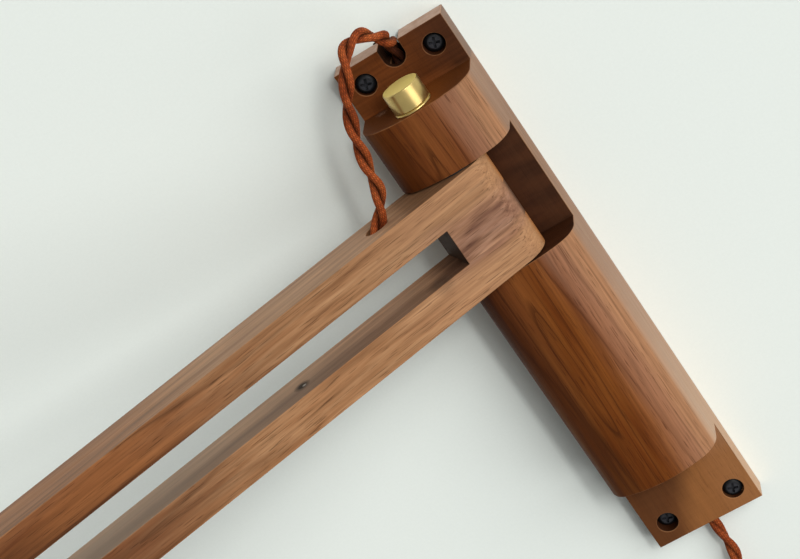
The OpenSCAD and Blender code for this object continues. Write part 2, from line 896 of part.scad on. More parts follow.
module plug_body() {
    neck_z = plug_top - plug_relief_l;
    edge = 1.5;
    color("#2a1c15")
    difference() {
        at_plug()
            rotate_extrude()
                polygon([
                    [0, plug_top], [plug_tip_d / 2, plug_top], [plug_neck_d / 2, neck_z],
                    [plug_d / 2, neck_z - plug_l / 4], [plug_d / 2, plug_low + edge],
                    [plug_d / 2 - edge, plug_low], [0, plug_low]
                ]);
        at_plug_pins(plug_low - cut, plug_low + plug_pin_root);
    }
}

module plug_pins() {
    color("#c9a85a")
    at_plug_pins(plug_low - plug_pin_l, plug_low + plug_pin_root);
}

// Bar of the arm's thickness with round ends at the pivot and at the lampholder's axis
module arm_bar(low, high) {
    block([0, -arm_t / 2, low], [arm_len, arm_t / 2, high]);
    for (u = [0, arm_len])
        translate([u, 0, 0])
            post(arm_t, low, high);
}

module at_dowels() {
    for (u = [dowel_from_axis, arm_len - dowel_from_axis])
        for (side = [-1, 1])
            translate([u, side * dowel_side, 0])
                children();
}

module dowel_holes() {
    at_dowels()
        post(dowel_d + 2 * joint_clear, low_rail_top - dowel_depth - joint_clear,
            top_rail_low + dowel_depth + joint_clear);
}

module at_strip_screws() {
    step = (strip_end - channel_start) / strip_screws;
    for (i = [0 : strip_screws - 1])
        for (side = [-1, 1])
            translate([channel_start + (i + 0.5) * step, side * strip_screw_side, top_rail_low])
                children();
}

module strip_screw_holes() {
    at_strip_screws()
        small_screw_hole();
}

module cord_channel() {
    hole_l = (arm_top - channel_low - cord_d / 2) / sin(cord_hole_slope);
    block([channel_start, -channel_w / 2, top_rail_low - cut],
        [arm_len + channel_w / 2, channel_w / 2, channel_high]);
    // Room over the channel's start, where the cord bends
    block([channel_start, -channel_w / 2, channel_low],
        [channel_start + cord_bend_l, channel_w / 2, channel_high + cord_bend_room]);
    // Sloping hole from the arm's top into the channel
    translate([cord_hole_u, 0, arm_top])
        rotate([0, 90 + cord_hole_slope, 0])
            translate([0, 0, -cord_d])
                cylinder(d = channel_w + 1, h = cord_d + hole_l);
}

module arm_upper_rail() {
    color("#a9764d")
    in_arm()
        difference() {
            arm_bar(top_rail_low, arm_top);
            post(bush_d + 2 * joint_clear, top_rail_low - cut, arm_top + cut);
            cord_channel();
            block([strip_start - strip_gap, -strip_w / 2 - strip_gap, top_rail_low - cut],
                [strip_end + strip_gap, strip_w / 2 + strip_gap, top_rail_low + strip_t + 0.1]);
            strip_screw_holes();
            dowel_holes();
        }
}

module arm_lower_rail() {
    color("#a9764d")
    in_arm()
        difference() {
            arm_bar(arm_low, low_rail_top);
            post(bush_d + 2 * joint_clear, arm_low - cut, low_rail_top + cut);
            translate([arm_len, 0, 0])
                post(stem_d + 2 * joint_clear, arm_low - cut, low_rail_top + cut);
            dowel_holes();
        }
}

// Block between the rails, from a round end at the given axis to the slot's end
module arm_spacer(axis_u, slot_u) {
    block([min(axis_u, slot_u), -arm_t / 2, low_rail_top],
        [max(axis_u, slot_u), arm_t / 2, top_rail_low]);
    translate([axis_u, 0, 0])
        post(arm_t, low_rail_top, top_rail_low);
}

module hinge_spacer() {
    color("#9c6f55")
    in_arm()
        difference() {
            arm_spacer(0, spacer_len);
            post(bush_d, low_rail_top - cut, top_rail_low + cut);
            dowel_holes();
        }
}

module tip_spacer() {
    color("#9c6f55")
    in_arm()
        difference() {
            arm_spacer(arm_len, arm_len - spacer_len);
            translate([arm_len, 0, 0])
                post(chamber_d, low_rail_top - cut, top_rail_low + cut);
            dowel_holes();
        }
}

module rail_dowels() {
    color("#d8b98a")
    in_arm()
        at_dowels()
            post(dowel_d, low_rail_top - dowel_depth, top_rail_low + dowel_depth);
}

module arm_upper_bush() {
    color("#b08d57")
    in_arm()
        ring(bush_d, pin_d + 2 * pin_clear, top_rail_low, arm_top);
}

module arm_lower_bush() {
    color("#b08d57")
    in_arm()
        ring(bush_d, pin_d + 2 * pin_clear, arm_low, low_rail_top);
}

module channel_strip() {
    color("#8d5f3d")
    in_arm()
        difference() {
            block([strip_start, -strip_w / 2, top_rail_low],
                [strip_end, strip_w / 2, top_rail_low + strip_t]);
            strip_screw_holes();
        }
}

module channel_strip_screws() {
    color("#b8924a")
    in_arm()
        at_strip_screws()
            small_screw();
}

// The cord runs along the channel, bends down at the tip and goes through the stem
module arm_cord() {
    bend_u = arm_len - arm_cord_bend;
    color("#93461f")
    in_arm() {
        translate([arm_cord_start, 0, arm_cord_z])
            rotate([0, 90, 0])
                cylinder(d = cord_d, h = bend_u - arm_cord_start);
        translate([bend_u, 0, arm_cord_z - arm_cord_bend])
            rotate([90, 0, 0])
                rotate_extrude(angle = 90)
                    translate([arm_cord_bend, 0])
                        circle(d = cord_d);
        translate([arm_len, 0, 0])
            post(cord_d, arm_cord_end, arm_cord_z - arm_cord_bend);
    }
}

module at_tip() {
    in_arm()
        translate([arm_len, 0, 0])
            children();
}

module lamp_stem() {
    color("#c6a252")
    at_tip()
        ring(stem_d, stem_bore, stem_low, stem_top);
}

module stem_nut() {
    color("#b98f3d")
    at_tip()
        hex_nut(stem_nut_flats, stem_d + 2 * joint_clear, low_rail_top, low_rail_top + stem_nut_h);
}

module tip_washer() {
    color("#c8a552")
    at_tip()
        ring(tip_washer_d, stem_d + 2 * joint_clear, washer_low, arm_low);
}

module lampholder_cup() {
    inner_r = cup_d / 2 - cup_wall;
    color("#c9a24a")
    at_tip()
        difference() {
            union() {
                post(cup_d, cup_low, cup_top - cup_shoulder_r);
                post(cup_d - 2 * cup_shoulder_r, cup_low, cup_top);
                translate([0, 0, cup_top - cup_shoulder_r])
                    rotate_extrude()
                        translate([cup_d / 2 - cup_shoulder_r, 0])
                            circle(r = cup_shoulder_r);
            }
            post(stem_d + 2 * joint_clear, cup_low, cup_top + cut);
            post(2 * inner_r, cup_low - cut, cup_top - cup_shoulder_r);
            post(2 * (inner_r - cup_shoulder_r), cup_low, cup_ceiling);
        }
}

module lampholder_insulator() {
    outer_d = cup_d - 2 * cup_wall - 2 * insulator_gap;
    neck = cup_d - 2 * cup_wall - 2 * cup_shoulder_r - 2 * insulator_gap;
    color("#e9e4d8")
    at_tip()
        difference() {
            union() {
                post(outer_d, insulator_low, cup_top - cup_shoulder_r - insulator_gap);
                post(neck, insulator_low, cup_ceiling);
            }
            post(stem_bore, insulator_low, cup_ceiling + cut);
            post(shell_bore + 2 * shell_wall + 2 * joint_clear, insulator_low - cut, shell_top);
        }
}

module lampholder_shell() {
    color("#b58f45")
    at_tip()
        ring(shell_bore + 2 * shell_wall, shell_bore, shell_low, shell_top);
}

module lampholder_contact() {
    color("#c6a252")
    at_tip()
        post(bulb_tip_d + 2, contact_low, shell_top);
}

module bulb_cap() {
    tip_top = contact_low;
    color("#c7c9cc")
    at_tip()
        union() {
            post(bulb_cap_d, cap_low, cap_top);
            post(bulb_tip_d, cap_low, tip_top);
        }
}

module bulb_glass() {
    inner_r = globe_d / 2 - glass_t;
    color("#f6f1e6")
    at_tip()
        difference() {
            union() {
                translate([0, 0, globe_z])
                    sphere(d = globe_d);
                post(bulb_neck_d, globe_z, cap_low);
            }
            translate([0, 0, globe_z])
                sphere(r = inner_r);
            post(bulb_neck_d - 2 * glass_t, globe_z, cap_low + cut);
        }
}

wall_base();
wall_screws();
back_cover();
back_cover_screws();
pivot_pin();
pin_plate();
pin_plate_screws();
upper_thrust_washer();
lower_thrust_washer();
dimmer_case();
dimmer_nut();
knob_washer();
dimmer_shaft();
dimmer_knob();
knob_grub_screw();
terminal_block();
terminal_screws();
dimmer_leads();
loop_cord_grip();
power_cord_grip();
power_cord_inside();
loop_cord_inside();
loop_cord();
power_cord();
power_cord_coil();
coil_tie();
plug_body();
plug_pins();
arm_upper_rail();
arm_lower_rail();
hinge_spacer();
tip_spacer();
rail_dowels();
arm_upper_bush();
arm_lower_bush();
channel_strip();
channel_strip_screws();
arm_cord();
lamp_stem();
stem_nut();
tip_washer();
lampholder_cup();
lampholder_insulator();
lampholder_shell();
lampholder_contact();
bulb_cap();
bulb_glass();
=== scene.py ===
"""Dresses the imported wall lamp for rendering.

Points and shaders are in metres. Routes and profiles are written in millimetres.
"""

import json
import math

import bmesh
import bpy
import numpy as np
from mathutils import Matrix, Vector

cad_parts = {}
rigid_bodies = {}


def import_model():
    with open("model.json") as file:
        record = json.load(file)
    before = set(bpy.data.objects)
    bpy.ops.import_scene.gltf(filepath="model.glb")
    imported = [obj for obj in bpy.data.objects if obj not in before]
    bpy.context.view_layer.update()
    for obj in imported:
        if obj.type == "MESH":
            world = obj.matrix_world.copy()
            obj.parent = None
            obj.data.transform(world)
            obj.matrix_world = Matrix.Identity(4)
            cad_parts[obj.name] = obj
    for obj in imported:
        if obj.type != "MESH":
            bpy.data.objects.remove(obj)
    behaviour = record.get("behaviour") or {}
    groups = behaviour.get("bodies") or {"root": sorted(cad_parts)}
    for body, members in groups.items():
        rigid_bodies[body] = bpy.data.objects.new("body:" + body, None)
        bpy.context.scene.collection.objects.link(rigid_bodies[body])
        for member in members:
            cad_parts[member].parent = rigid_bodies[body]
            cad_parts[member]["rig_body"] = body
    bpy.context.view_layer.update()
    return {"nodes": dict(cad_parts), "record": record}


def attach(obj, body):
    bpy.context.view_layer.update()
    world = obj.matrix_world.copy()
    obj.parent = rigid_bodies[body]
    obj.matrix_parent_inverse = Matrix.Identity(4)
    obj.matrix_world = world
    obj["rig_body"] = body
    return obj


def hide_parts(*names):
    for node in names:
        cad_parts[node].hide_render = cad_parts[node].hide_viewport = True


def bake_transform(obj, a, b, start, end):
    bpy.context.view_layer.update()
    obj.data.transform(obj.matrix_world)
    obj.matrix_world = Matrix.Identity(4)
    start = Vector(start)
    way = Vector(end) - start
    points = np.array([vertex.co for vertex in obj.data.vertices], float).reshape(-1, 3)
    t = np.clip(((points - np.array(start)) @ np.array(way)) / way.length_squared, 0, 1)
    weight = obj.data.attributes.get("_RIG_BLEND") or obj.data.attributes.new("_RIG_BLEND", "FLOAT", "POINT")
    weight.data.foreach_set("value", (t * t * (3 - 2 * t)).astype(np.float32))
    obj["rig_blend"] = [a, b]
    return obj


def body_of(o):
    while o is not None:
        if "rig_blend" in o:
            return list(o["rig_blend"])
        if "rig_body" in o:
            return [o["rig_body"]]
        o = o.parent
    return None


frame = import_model()
nodes = frame["nodes"]
subparts = frame["record"]["subparts"]
scene = bpy.context.scene
MM = 0.001

# The base: its ends in millimetres, its screws' axes, the hinge slot's middle, and the knob's shelf
# and axis
BASE_TOP, BASE_LOW = 127, -127
SCREW_X, SCREW_Z = 16 * MM, 117.5 * MM
SLOT_Z = 51.7 * MM
SHELF_Z = 105 * MM
KNOB_AT = Vector((-0.8 * MM, -27.5 * MM, 0))

# The arm: the ways along it and to its front, its reach in millimetres, its pivot and tip, its slot's
# ends in millimetres, and its lower rail's top
ARM_TURN = math.radians(206)
ARM_ALONG = Vector((math.cos(ARM_TURN), math.sin(ARM_TURN), 0))
ARM_FRONT = Vector((-math.sin(ARM_TURN), math.cos(ARM_TURN), 0))
ARM_REACH = 440
PIVOT = Vector((0, -26 * MM, 0))
TIP = PIVOT + ARM_ALONG * ARM_REACH * MM
SLOT_FROM, SLOT_TO = 21, 419
LOWER_RAIL_Z = 43.5 * MM


# Camera, fitted to measured points of the photograph
camera = bpy.data.objects.new("Camera", bpy.data.cameras.new("Camera"))
camera.data.sensor_width = 36
camera.data.lens = 103.56
camera.data.clip_start = 0.02
camera.data.clip_end = 30
camera.matrix_world = Matrix((
    (0.8369, 0.4774, 0.2676, 0.2016),
    (0.0472, 0.4241, -0.9044, -0.8638),
    (-0.5453, 0.7695, 0.3324, 0.3529),
    (0, 0, 0, 1),
))
scene.collection.objects.link(camera)
scene.camera = camera
scene.view_settings.view_transform = "Standard"


# Colours and shaders

def srgb(red, green, blue):
    """A colour written as 0 to 255, in the linear values that shaders take."""
    values = [c / 255 for c in (red, green, blue)]
    return tuple(c / 12.92 if c < 0.04 else ((c + 0.055) / 1.055) ** 2.4 for c in values) + (1,)


def darker(colour, share):
    return srgb(*(c * (1 - share) for c in colour))


class Shader:
    """The nodes of a material or a world. Each call adds nodes and returns an output."""

    def __init__(self, name, library=bpy.data.materials):
        self.owner = library.new(name)
        self.owner.use_nodes = True
        self.tree = self.owner.node_tree
        self.tree.nodes.clear()

    def node(self, kind, inputs=None, out=0, **settings):
        node = self.tree.nodes.new("ShaderNode" + kind)
        for key, value in settings.items():
            setattr(node, key, value)
        for key, value in (inputs or {}).items():
            if isinstance(value, bpy.types.NodeSocket):
                self.tree.links.new(value, node.inputs[key])
            else:
                node.inputs[key].default_value = value
        return node.outputs[out]

    def place(self):
        return self.node("TexCoord", out="Object")

    def facing(self):
        return self.node("TexCoord", out="Normal")

    def axes(self, vector):
        return self.node("SeparateXYZ", {0: vector}).node.outputs

    def math(self, operation, a, b=0.0):
        return self.node("Math", {0: a, 1: b}, operation=operation)

    def add(self, a, b):
        return self.math("ADD", a, b)

    def minus(self, a, b):
        return self.math("SUBTRACT", a, b)

    def times(self, product, *factors):
        for factor in factors:
            product = self.math("MULTIPLY", product, factor)
        return product

    def size(self, value):
        return self.math("ABSOLUTE", value)

    def above(self, value, limit):
        return self.math("GREATER_THAN", value, limit)

    def below(self, value, limit):
        return self.math("LESS_THAN", value, limit)

    def within(self, value, middle, half):
        """1 where a value is within half of middle, else 0."""
        return self.below(self.size(self.minus(value, middle)), half)

    def vectors(self, operation, a, b=(0, 0, 0), out=0):
        return self.node("VectorMath", {0: a, 1: b}, out, operation=operation)

    def scaled(self, vector, factors):
        return self.vectors("MULTIPLY", vector, factors)

    def noise(self, vector, scale, detail=2.0, roughness=0.5, out=0):
        inputs = {"Vector": vector, "Scale": scale, "Detail": detail, "Roughness": roughness}
        return self.node("TexNoise", inputs, out)

    def streaks(self, vector, stretch, *noise, **settings):
        """Noise that is drawn out along X."""
        return self.noise(self.scaled(vector, (stretch, 1, 1)), *noise, **settings)

    def sway(self, noise, width):
        """Noise that swings by a width about 0."""
        return self.times(self.minus(noise, 0.5), width)

    def ramp(self, value, *stops):
        """Grey levels, or colours, at places from 0 to 1."""
        socket = self.node("ValToRGB", {"Fac": value})
        elements = socket.node.color_ramp.elements
        while len(elements) < len(stops):
            elements.new(1)
        for element, (place, level) in zip(elements, stops):
            element.position = place
            element.color = level if isinstance(level, tuple) else (level, level, level, 1)
        return socket

    def mix(self, factor, a, b, blend="MIX"):
        inputs = {0: factor, 6: a, 7: b}
        return self.node("Mix", inputs, 2, data_type="RGBA", blend_type=blend)

    def shade(self, factor, colour, value, *stops):
        """A colour times the grey levels of a ramp."""
        return self.mix(factor, colour, self.ramp(value, *stops), "MULTIPLY")

    def spot(self, place, middle, radius, amount, core=0.35):
        """A round spot with a soft rim. A ramp is too coarse for the distance itself."""
        away = self.vectors("DISTANCE", place, middle, 1)
        return self.ramp(self.math("DIVIDE", away, radius), (core, amount), (1.0, 0.0))

    def bump(self, height, strength, distance, normal=None):
        inputs = {"Height": height, "Strength": strength, "Distance": distance}
        if normal is not None:
            inputs["Normal"] = normal
        return self.node("Bump", inputs)

    def finish(self, **inputs):
        named = {key.replace("_", " "): value for key, value in inputs.items()}
        return self.surface(self.node("BsdfPrincipled", named))

    def surface(self, shader, output="ShaderNodeOutputMaterial"):
        self.tree.links.new(shader, self.tree.nodes.new(output).inputs["Surface"])
        return self.owner


# Meshes

SHARP = math.radians(38)


def piece(name, points, faces, body, material, around=None):
    """A mesh that rides on a body. around gives each corner's place on the surface, for a weave."""
    mesh = bpy.data.meshes.new(name)
    mesh.from_pydata([tuple(p) for p in points], [], faces)
    if around is not None:
        layer = mesh.uv_layers.new(name="weave")
        for loop, place in zip(layer.data, around):
            loop.uv = place
    return placed(name, mesh, body, material)


def placed(name, mesh, body, material):
    """A mesh made an object that rides on a body, smooth but for its sharp edges."""
    mesh.materials.clear()
    mesh.materials.append(material)
    mesh.polygons.foreach_set("use_smooth", [True] * len(mesh.polygons))
    mesh.set_sharp_from_angle(angle=SHARP)
    obj = bpy.data.objects.new(name, mesh)
    scene.collection.objects.link(obj)
    if body:
        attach(obj, body)
    return obj


def bands(rings, sides, closed=False, first=0):
    """Faces between rings of points that follow one another."""
    faces = []
    for i in range(rings if closed else rings - 1):
        a, b = first + i * sides, first + (i + 1) % rings * sides
        for k in range(sides):
            n = (k + 1) % sides
            faces.append((a + k, a + n, b + n, b + k))
    return faces


def soften(profile, radius, steps=3):
    """A profile with each inner corner rounded."""
    made = [profile[0]]
    for before, corner, after in zip(profile, profile[1:], profile[2:]):
        b, c, a = (Vector(p) for p in (before, corner, after))
        reach = min(radius, (b - c).length * 0.45, (a - c).length * 0.45)
        first = c + (b - c).normalized() * reach
        last = c + (a - c).normalized() * reach
        for i in range(steps + 1):
            t = i / steps
            point = first * (1 - t) ** 2 + c * 2 * t * (1 - t) + last * t ** 2
            made.append(tuple(point))
    made.append(profile[-1])
    return made


def lathe(name, profile, place, body, material, sides, closed=False):
    """Turns a profile of (radius, height) about an upright axis at place."""
    points = []
    for r, z in profile:
        for k in range(sides):
            a = 2 * math.pi * k / sides
            points.append((place[0] + r * MM * math.cos(a), place[1] + r * MM * math.sin(a), z * MM))
    mesh = bpy.data.meshes.new(name)
    mesh.from_pydata(points, [], bands(len(profile), sides, closed))
    shape = bmesh.new()
    shape.from_mesh(mesh)
    bmesh.ops.remove_doubles(shape, verts=shape.verts, dist=1e-7)
    bmesh.ops.recalc_face_normals(shape, faces=shape.faces)
    shape.to_mesh(mesh)
    shape.free()
    return placed(name, mesh, body, material)


FLAT_ANGLE, EDGE_ANGLE = math.radians(0.4), math.radians(32)


def dress(node, material, width, wanted, cuts=()):
    """A copy of a CAD node with eased edges, which stands for it.

    wanted says which edges are eased, by their middles, and cuts are planes that split them first.
    """
    source = nodes[node]
    body = body_of(source)[0]
    shape = bmesh.new()
    shape.from_mesh(source.data)
    bmesh.ops.remove_doubles(shape, verts=shape.verts, dist=2e-6)
    bmesh.ops.dissolve_limit(shape, angle_limit=FLAT_ANGLE, verts=shape.verts, edges=shape.edges)
    for point, normal in cuts:
        geometry = shape.verts[:] + shape.edges[:] + shape.faces[:]
        bmesh.ops.bisect_plane(shape, geom=geometry, dist=1e-7, plane_co=point, plane_no=normal)
    edges = []
    for edge in shape.edges:
        if len(edge.link_faces) != 2 or not edge.is_convex:
            continue
        if edge.calc_face_angle(0) < EDGE_ANGLE:
            continue
        middle = (edge.verts[0].co + edge.verts[1].co) / 2
        if wanted(middle):
            edges.append(edge)
    layer = shape.faces.layers.float.new("edge")
    eased = bmesh.ops.bevel(
        shape, geom=edges, offset=width * MM, segments=2, profile=0.5, affect="EDGES",
        clamp_overlap=False, loop_slide=True, miter_outer="ARC",
    )
    for face in eased["faces"]:
        face[layer] = 1.0
    mesh = bpy.data.meshes.new(node + "_dressed")
    shape.to_mesh(mesh)
    shape.free()
    obj = placed(node + "_dressed", mesh, body, material)
    weights = obj.modifiers.new("Weights", "WEIGHTED_NORMAL")
    weights.keep_sharp = True
    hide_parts(node)


# Cords: two braided strands twisted together

def in_metres(points):
    return [(x * MM, y * MM, z * MM) for x, y, z in points]


def run_along(line):
    """How far each point is from the line's start, along it."""
    return np.concatenate([[0], np.cumsum(np.linalg.norm(np.diff(line, axis=0), axis=1))])


def line_through(points, step):
    """A smooth line through points, with a point every step."""
    p = np.array(points, float)
    p = np.vstack([2 * p[0] - p[1], p, 2 * p[-1] - p[-2]])
    fine = []
    for i in range(1, len(p) - 2):
        knots = [0.0]
        for a, b in zip(p[i - 1:i + 2], p[i:i + 3]):
            knots.append(knots[-1] + max(np.linalg.norm(b - a), 1e-9) ** 0.5)
        t0, t1, t2, t3 = knots
        for t in np.linspace(t1, t2, 24, endpoint=False):
            a1 = (t1 - t) / (t1 - t0) * p[i - 1] + (t - t0) / (t1 - t0) * p[i]
            a2 = (t2 - t) / (t2 - t1) * p[i] + (t - t1) / (t2 - t1) * p[i + 1]
            a3 = (t3 - t) / (t3 - t2) * p[i + 1] + (t - t2) / (t3 - t2) * p[i + 2]
            b1 = (t2 - t) / (t2 - t0) * a1 + (t - t0) / (t2 - t0) * a2
            b2 = (t3 - t) / (t3 - t1) * a2 + (t - t1) / (t3 - t1) * a3
            fine.append((t2 - t) / (t2 - t1) * b1 + (t - t1) / (t2 - t1) * b2)
    fine.append(p[-2])
    fine = np.array(fine)
    run = run_along(fine)
    places = np.linspace(0, run[-1], max(2, round(run[-1] / step) + 1))
    return np.stack([np.interp(places, run, fine[:, k]) for k in range(3)], axis=1)


def unit(vectors):
    return vectors / np.linalg.norm(vectors, axis=-1, keepdims=True)


STRAND_R = 1.55 * MM
STRAND_OFF = 1.5 * MM
TWIST = -30.75 * MM


def twisted_cord(name, line, body, phase=0.0, spread=(), sides=10):
    """Two strands wound round a line.

    spread lists (place, half width, extra) where they stand farther apart, or closer if extra is negative.
    """
    run = run_along(line)
    heading = unit(np.gradient(line, axis=0))
    across = np.zeros_like(line)
    start = np.cross(heading[0], (0.0, 0.0, 1.0))
    if np.linalg.norm(start) < 0.1:
        start = np.cross(heading[0], (0.0, 1.0, 0.0))
    across[0] = unit(start)
    for i in range(1, len(line)):
        across[i] = unit(across[i - 1] - heading[i] * np.dot(across[i - 1], heading[i]))
    beside = np.cross(heading, across)
    off = np.full(len(line), STRAND_OFF)
    for place, half, extra in spread:
        off += extra * np.exp(-((run - place) / half) ** 2)
    points, faces, around = [], [], []
    for strand in (0, 1):
        turn = phase + 2 * math.pi * run / TWIST + math.pi * strand
        out = np.cos(turn)[:, None] * across + np.sin(turn)[:, None] * beside
        middle = line + out * off[:, None]
        ahead = unit(np.gradient(middle, axis=0))
        up = unit(out - ahead * np.sum(out * ahead, axis=1, keepdims=True))
        side = np.cross(ahead, up)
        first = len(points)
        for i in range(len(line)):
            for k in range(sides):
                a = 2 * math.pi * k / sides
                points.append(middle[i] + STRAND_R * (math.cos(a) * up[i] + math.sin(a) * side[i]))
        faces += bands(len(line), sides, first=first)
        laid = run_along(middle) / (2 * math.pi * STRAND_R)
        for low, high in zip(laid, laid[1:]):
            for k in range(sides):
                left, right = k / sides, (k + 1) / sides
                around += [(left, low), (right, low), (right, high), (left, high)]
        last = first + (len(line) - 1) * sides
        faces.append(tuple(first + k for k in reversed(range(sides))))
        faces.append(tuple(last + k for k in range(sides)))
        around += [(k / sides, 0) for k in reversed(range(sides))]
        around += [(k / sides, 0) for k in range(sides)]
    return piece(name, points, faces, body, cord_cover, around)


def braid():
    """Rust coloured braided cover: long diamonds of yarn with dark gaps and a little fuzz.

    Each strand is painted darker on its inner side, and the cord is painted darker inside the notch of the
    top tab, both as painted shade.
    """
    s = Shader("braided_cover")
    across, along, _ = s.axes(s.node("UVMap", uv_map="weave"))
    yarns, lay = s.times(across, 5.0), s.times(along, 2.5)
    one = s.math("SINE", s.times(s.add(yarns, lay), 2 * math.pi))
    two = s.math("SINE", s.times(s.minus(yarns, lay), 2 * math.pi))
    cells = s.times(one, two)
    height = s.size(cells)
    place = s.place()
    _, y, z = s.axes(place)
    tone = s.noise(place, 160, 3)
    fuzz = s.noise(place, 2600, 2)
    colour = s.ramp(tone, (0.3, srgb(142, 61, 27)), (0.5, srgb(180, 84, 39)), (0.72, srgb(206, 108, 54)))
    colour = s.shade(1.0, colour, cells, (0.0, 0.6), (0.5, 0.72), (1.0, 1.05))
    colour = s.shade(1.0, colour, height, (0.0, 0.3), (0.3, 1.0))
    colour = s.shade(0.35, colour, fuzz, (0.3, 0.55), (0.7, 1.25))
    # Painted shade: each strand is darker on its inner side, in the groove between the strands.
    colour = s.shade(1.0, colour, s.size(s.minus(across, 0.5)), (0.06, 0.16), (0.27, 1.0))
    # Painted shade: the cord is darkened inside the notch of the top tab.
    painted_cord_shade = s.ramp(s.add(y, 0.5), (0.479, 0.0), (0.485, 0.5), (0.49, 0.92))
    colour = s.mix(s.times(painted_cord_shade, s.above(z, 0.11)), colour, srgb(30, 14, 8))
    rough = s.ramp(fuzz, (0.3, 0.62), (0.7, 0.85))
    normal = s.bump(height, 0.55, 0.0003)
    normal = s.bump(fuzz, 0.25, 0.0001, normal)
    return s.finish(
        Base_Color=colour, Roughness=rough, Normal=normal, Sheen_Weight=0.15,
        Sheen_Roughness=0.45, Sheen_Tint=srgb(226, 130, 70), Specular_IOR_Level=0.1,
    )


cord_cover = braid()

# The loop, from the notch to the arm. Heights are from the base's top.
loop_points = [
    (0, -4, -14), (0, -4, -9.8), (0.7, -5.2, -5.5), (1.2, -7.8, -1.8), (1.9, -11.6, 0.9), (3, -16.1, 2.6),
    (3.2, -20.2, 4.9), (2.7, -24, 7.8), (1.2, -27.5, 10.6), (-0.7, -30.8, 13.6), (-3.2, -34.6, 15.4),
    (-5.8, -38.9, 15.4), (-8, -43.2, 13.6), (-9.8, -46.6, 10.1), (-12.1, -48.2, 5.8), (-14.7, -48.2, 1.3),
    (-17.1, -47.4, -3.2), (-19.3, -46.9, -7.9), (-21.1, -46.6, -12.7), (-22.5, -46.2, -17.7),
    (-23.7, -45.8, -22.6), (-24.9, -45.6, -27.6), (-25.7, -45.2, -32.6), (-26.7, -44.9, -37.5),
    (-28.7, -44.6, -42.1), (-31.1, -44.1, -46.6), (-34.3, -43.7, -50.3), (-37.7, -44.3, -53.8),
    (-40.6, -45.8, -57.6), (-44.2, -47.7, -60.3), (-48.5, -49.7, -61.2), (-53, -51.9, -61.3),
]
loop_line = line_through(in_metres((x, y, z + BASE_TOP) for x, y, z in loop_points), 1.1 * MM)
loop = twisted_cord("cord_loop", loop_line, None, 0.54, sides=14)
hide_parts("loop_cord")
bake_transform(loop, "base", "arm", start=(0, -0.004, 0.121), end=(-0.0392, -0.0510, 0.0975))

# The cord in the grooves behind the base
GROOVE_Y = -5.4
inside_points = [(0, GROOVE_Y, 95), (0, GROOVE_Y, 102), (0, -4.7, 106), (0, -4, 110), (0, -4, 113)]
inside_line = line_through(in_metres(inside_points), 1.5 * MM)
loop_inside = twisted_cord("cord_loop_inside", inside_line, "base")
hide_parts("loop_cord_inside")

supply_line = np.array(in_metres((0, GROOVE_Y, z) for z in np.linspace(84, BASE_LOW, 106)))
supply = twisted_cord("cord_power_inside", supply_line, "base")
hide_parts("power_cord_inside")

# The power cord, from the base to a coil of several layers and on to the plug. Its first points'
# heights are from the base's bottom.
COIL_X, COIL_Z, COIL_BACK, COIL_FRONT = 12, -234, -6, -26.1
COIL_R, COIL_SPREAD, COIL_PITCH, COIL_LAYERS, LAYER_TURNS, TURN_POINTS = 42, 11.725, 6.7, 4, 1.75, 24
PLUG_X, PLUG_TOP = -30, -272
power_points = [
    (0, GROOVE_Y, 0), (0, GROOVE_Y, -7), (0, -5.6, -19), (-3, -6, -32), (-9, -6, -45), (-17, -6, -57),
    (-24, -6, -69), (-28.5, -6, -81), (-30, -6, -94), (-30, -6, -101),
]
power_route = [(x, y, z + BASE_LOW) for x, y, z in power_points]
for i in range(int(COIL_LAYERS * LAYER_TURNS * TURN_POINTS) + 1):
    t = i / TURN_POINTS
    r = COIL_R - COIL_SPREAD * abs((t / LAYER_TURNS + 1) % 2 - 1)
    a = math.radians(180 + 360 * t)
    climbed = sum(min(1, max(0, (t - k * LAYER_TURNS) * 2 + 0.5)) for k in range(1, COIL_LAYERS))
    x, z = COIL_X + r * math.cos(a), COIL_Z + r * math.sin(a)
    power_route.append((x, COIL_BACK - COIL_PITCH * climbed, z))
power_route += [(PLUG_X, COIL_FRONT, z) for z in (-240, -256, PLUG_TOP)]
power_line = line_through(in_metres(power_route), 2.0 * MM)
SNUG = [(0.008, 0.016, -0.5 * MM)]
power = twisted_cord("cord_power", power_line, "base", 0.96, SNUG)
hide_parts("power_cord", "power_cord_coil")

# The cord in the arm, as (distance from the pivot, height), along its channel and down to the lampholder
CHANNEL_Z, BEND_R = 65.7, 12
arm_points = [(u, CHANNEL_Z) for u in (59.5, 62, *range(80, 421, 20))]
arm_points += [
    (ARM_REACH - BEND_R + BEND_R * math.sin(a), CHANNEL_Z - BEND_R + BEND_R * math.cos(a))
    for a in np.radians(np.linspace(0, 90, 7))
]
arm_points += [(ARM_REACH, z) for z in (44, 34, 24, 12.1)]
arm_line = line_through(
    [tuple(PIVOT + ARM_ALONG * u * MM + Vector((0, 0, z * MM))) for u, z in arm_points], 2 * MM,
)
arm_cord = twisted_cord("cord_in_arm", arm_line, "arm")
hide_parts("arm_cord")


# Materials

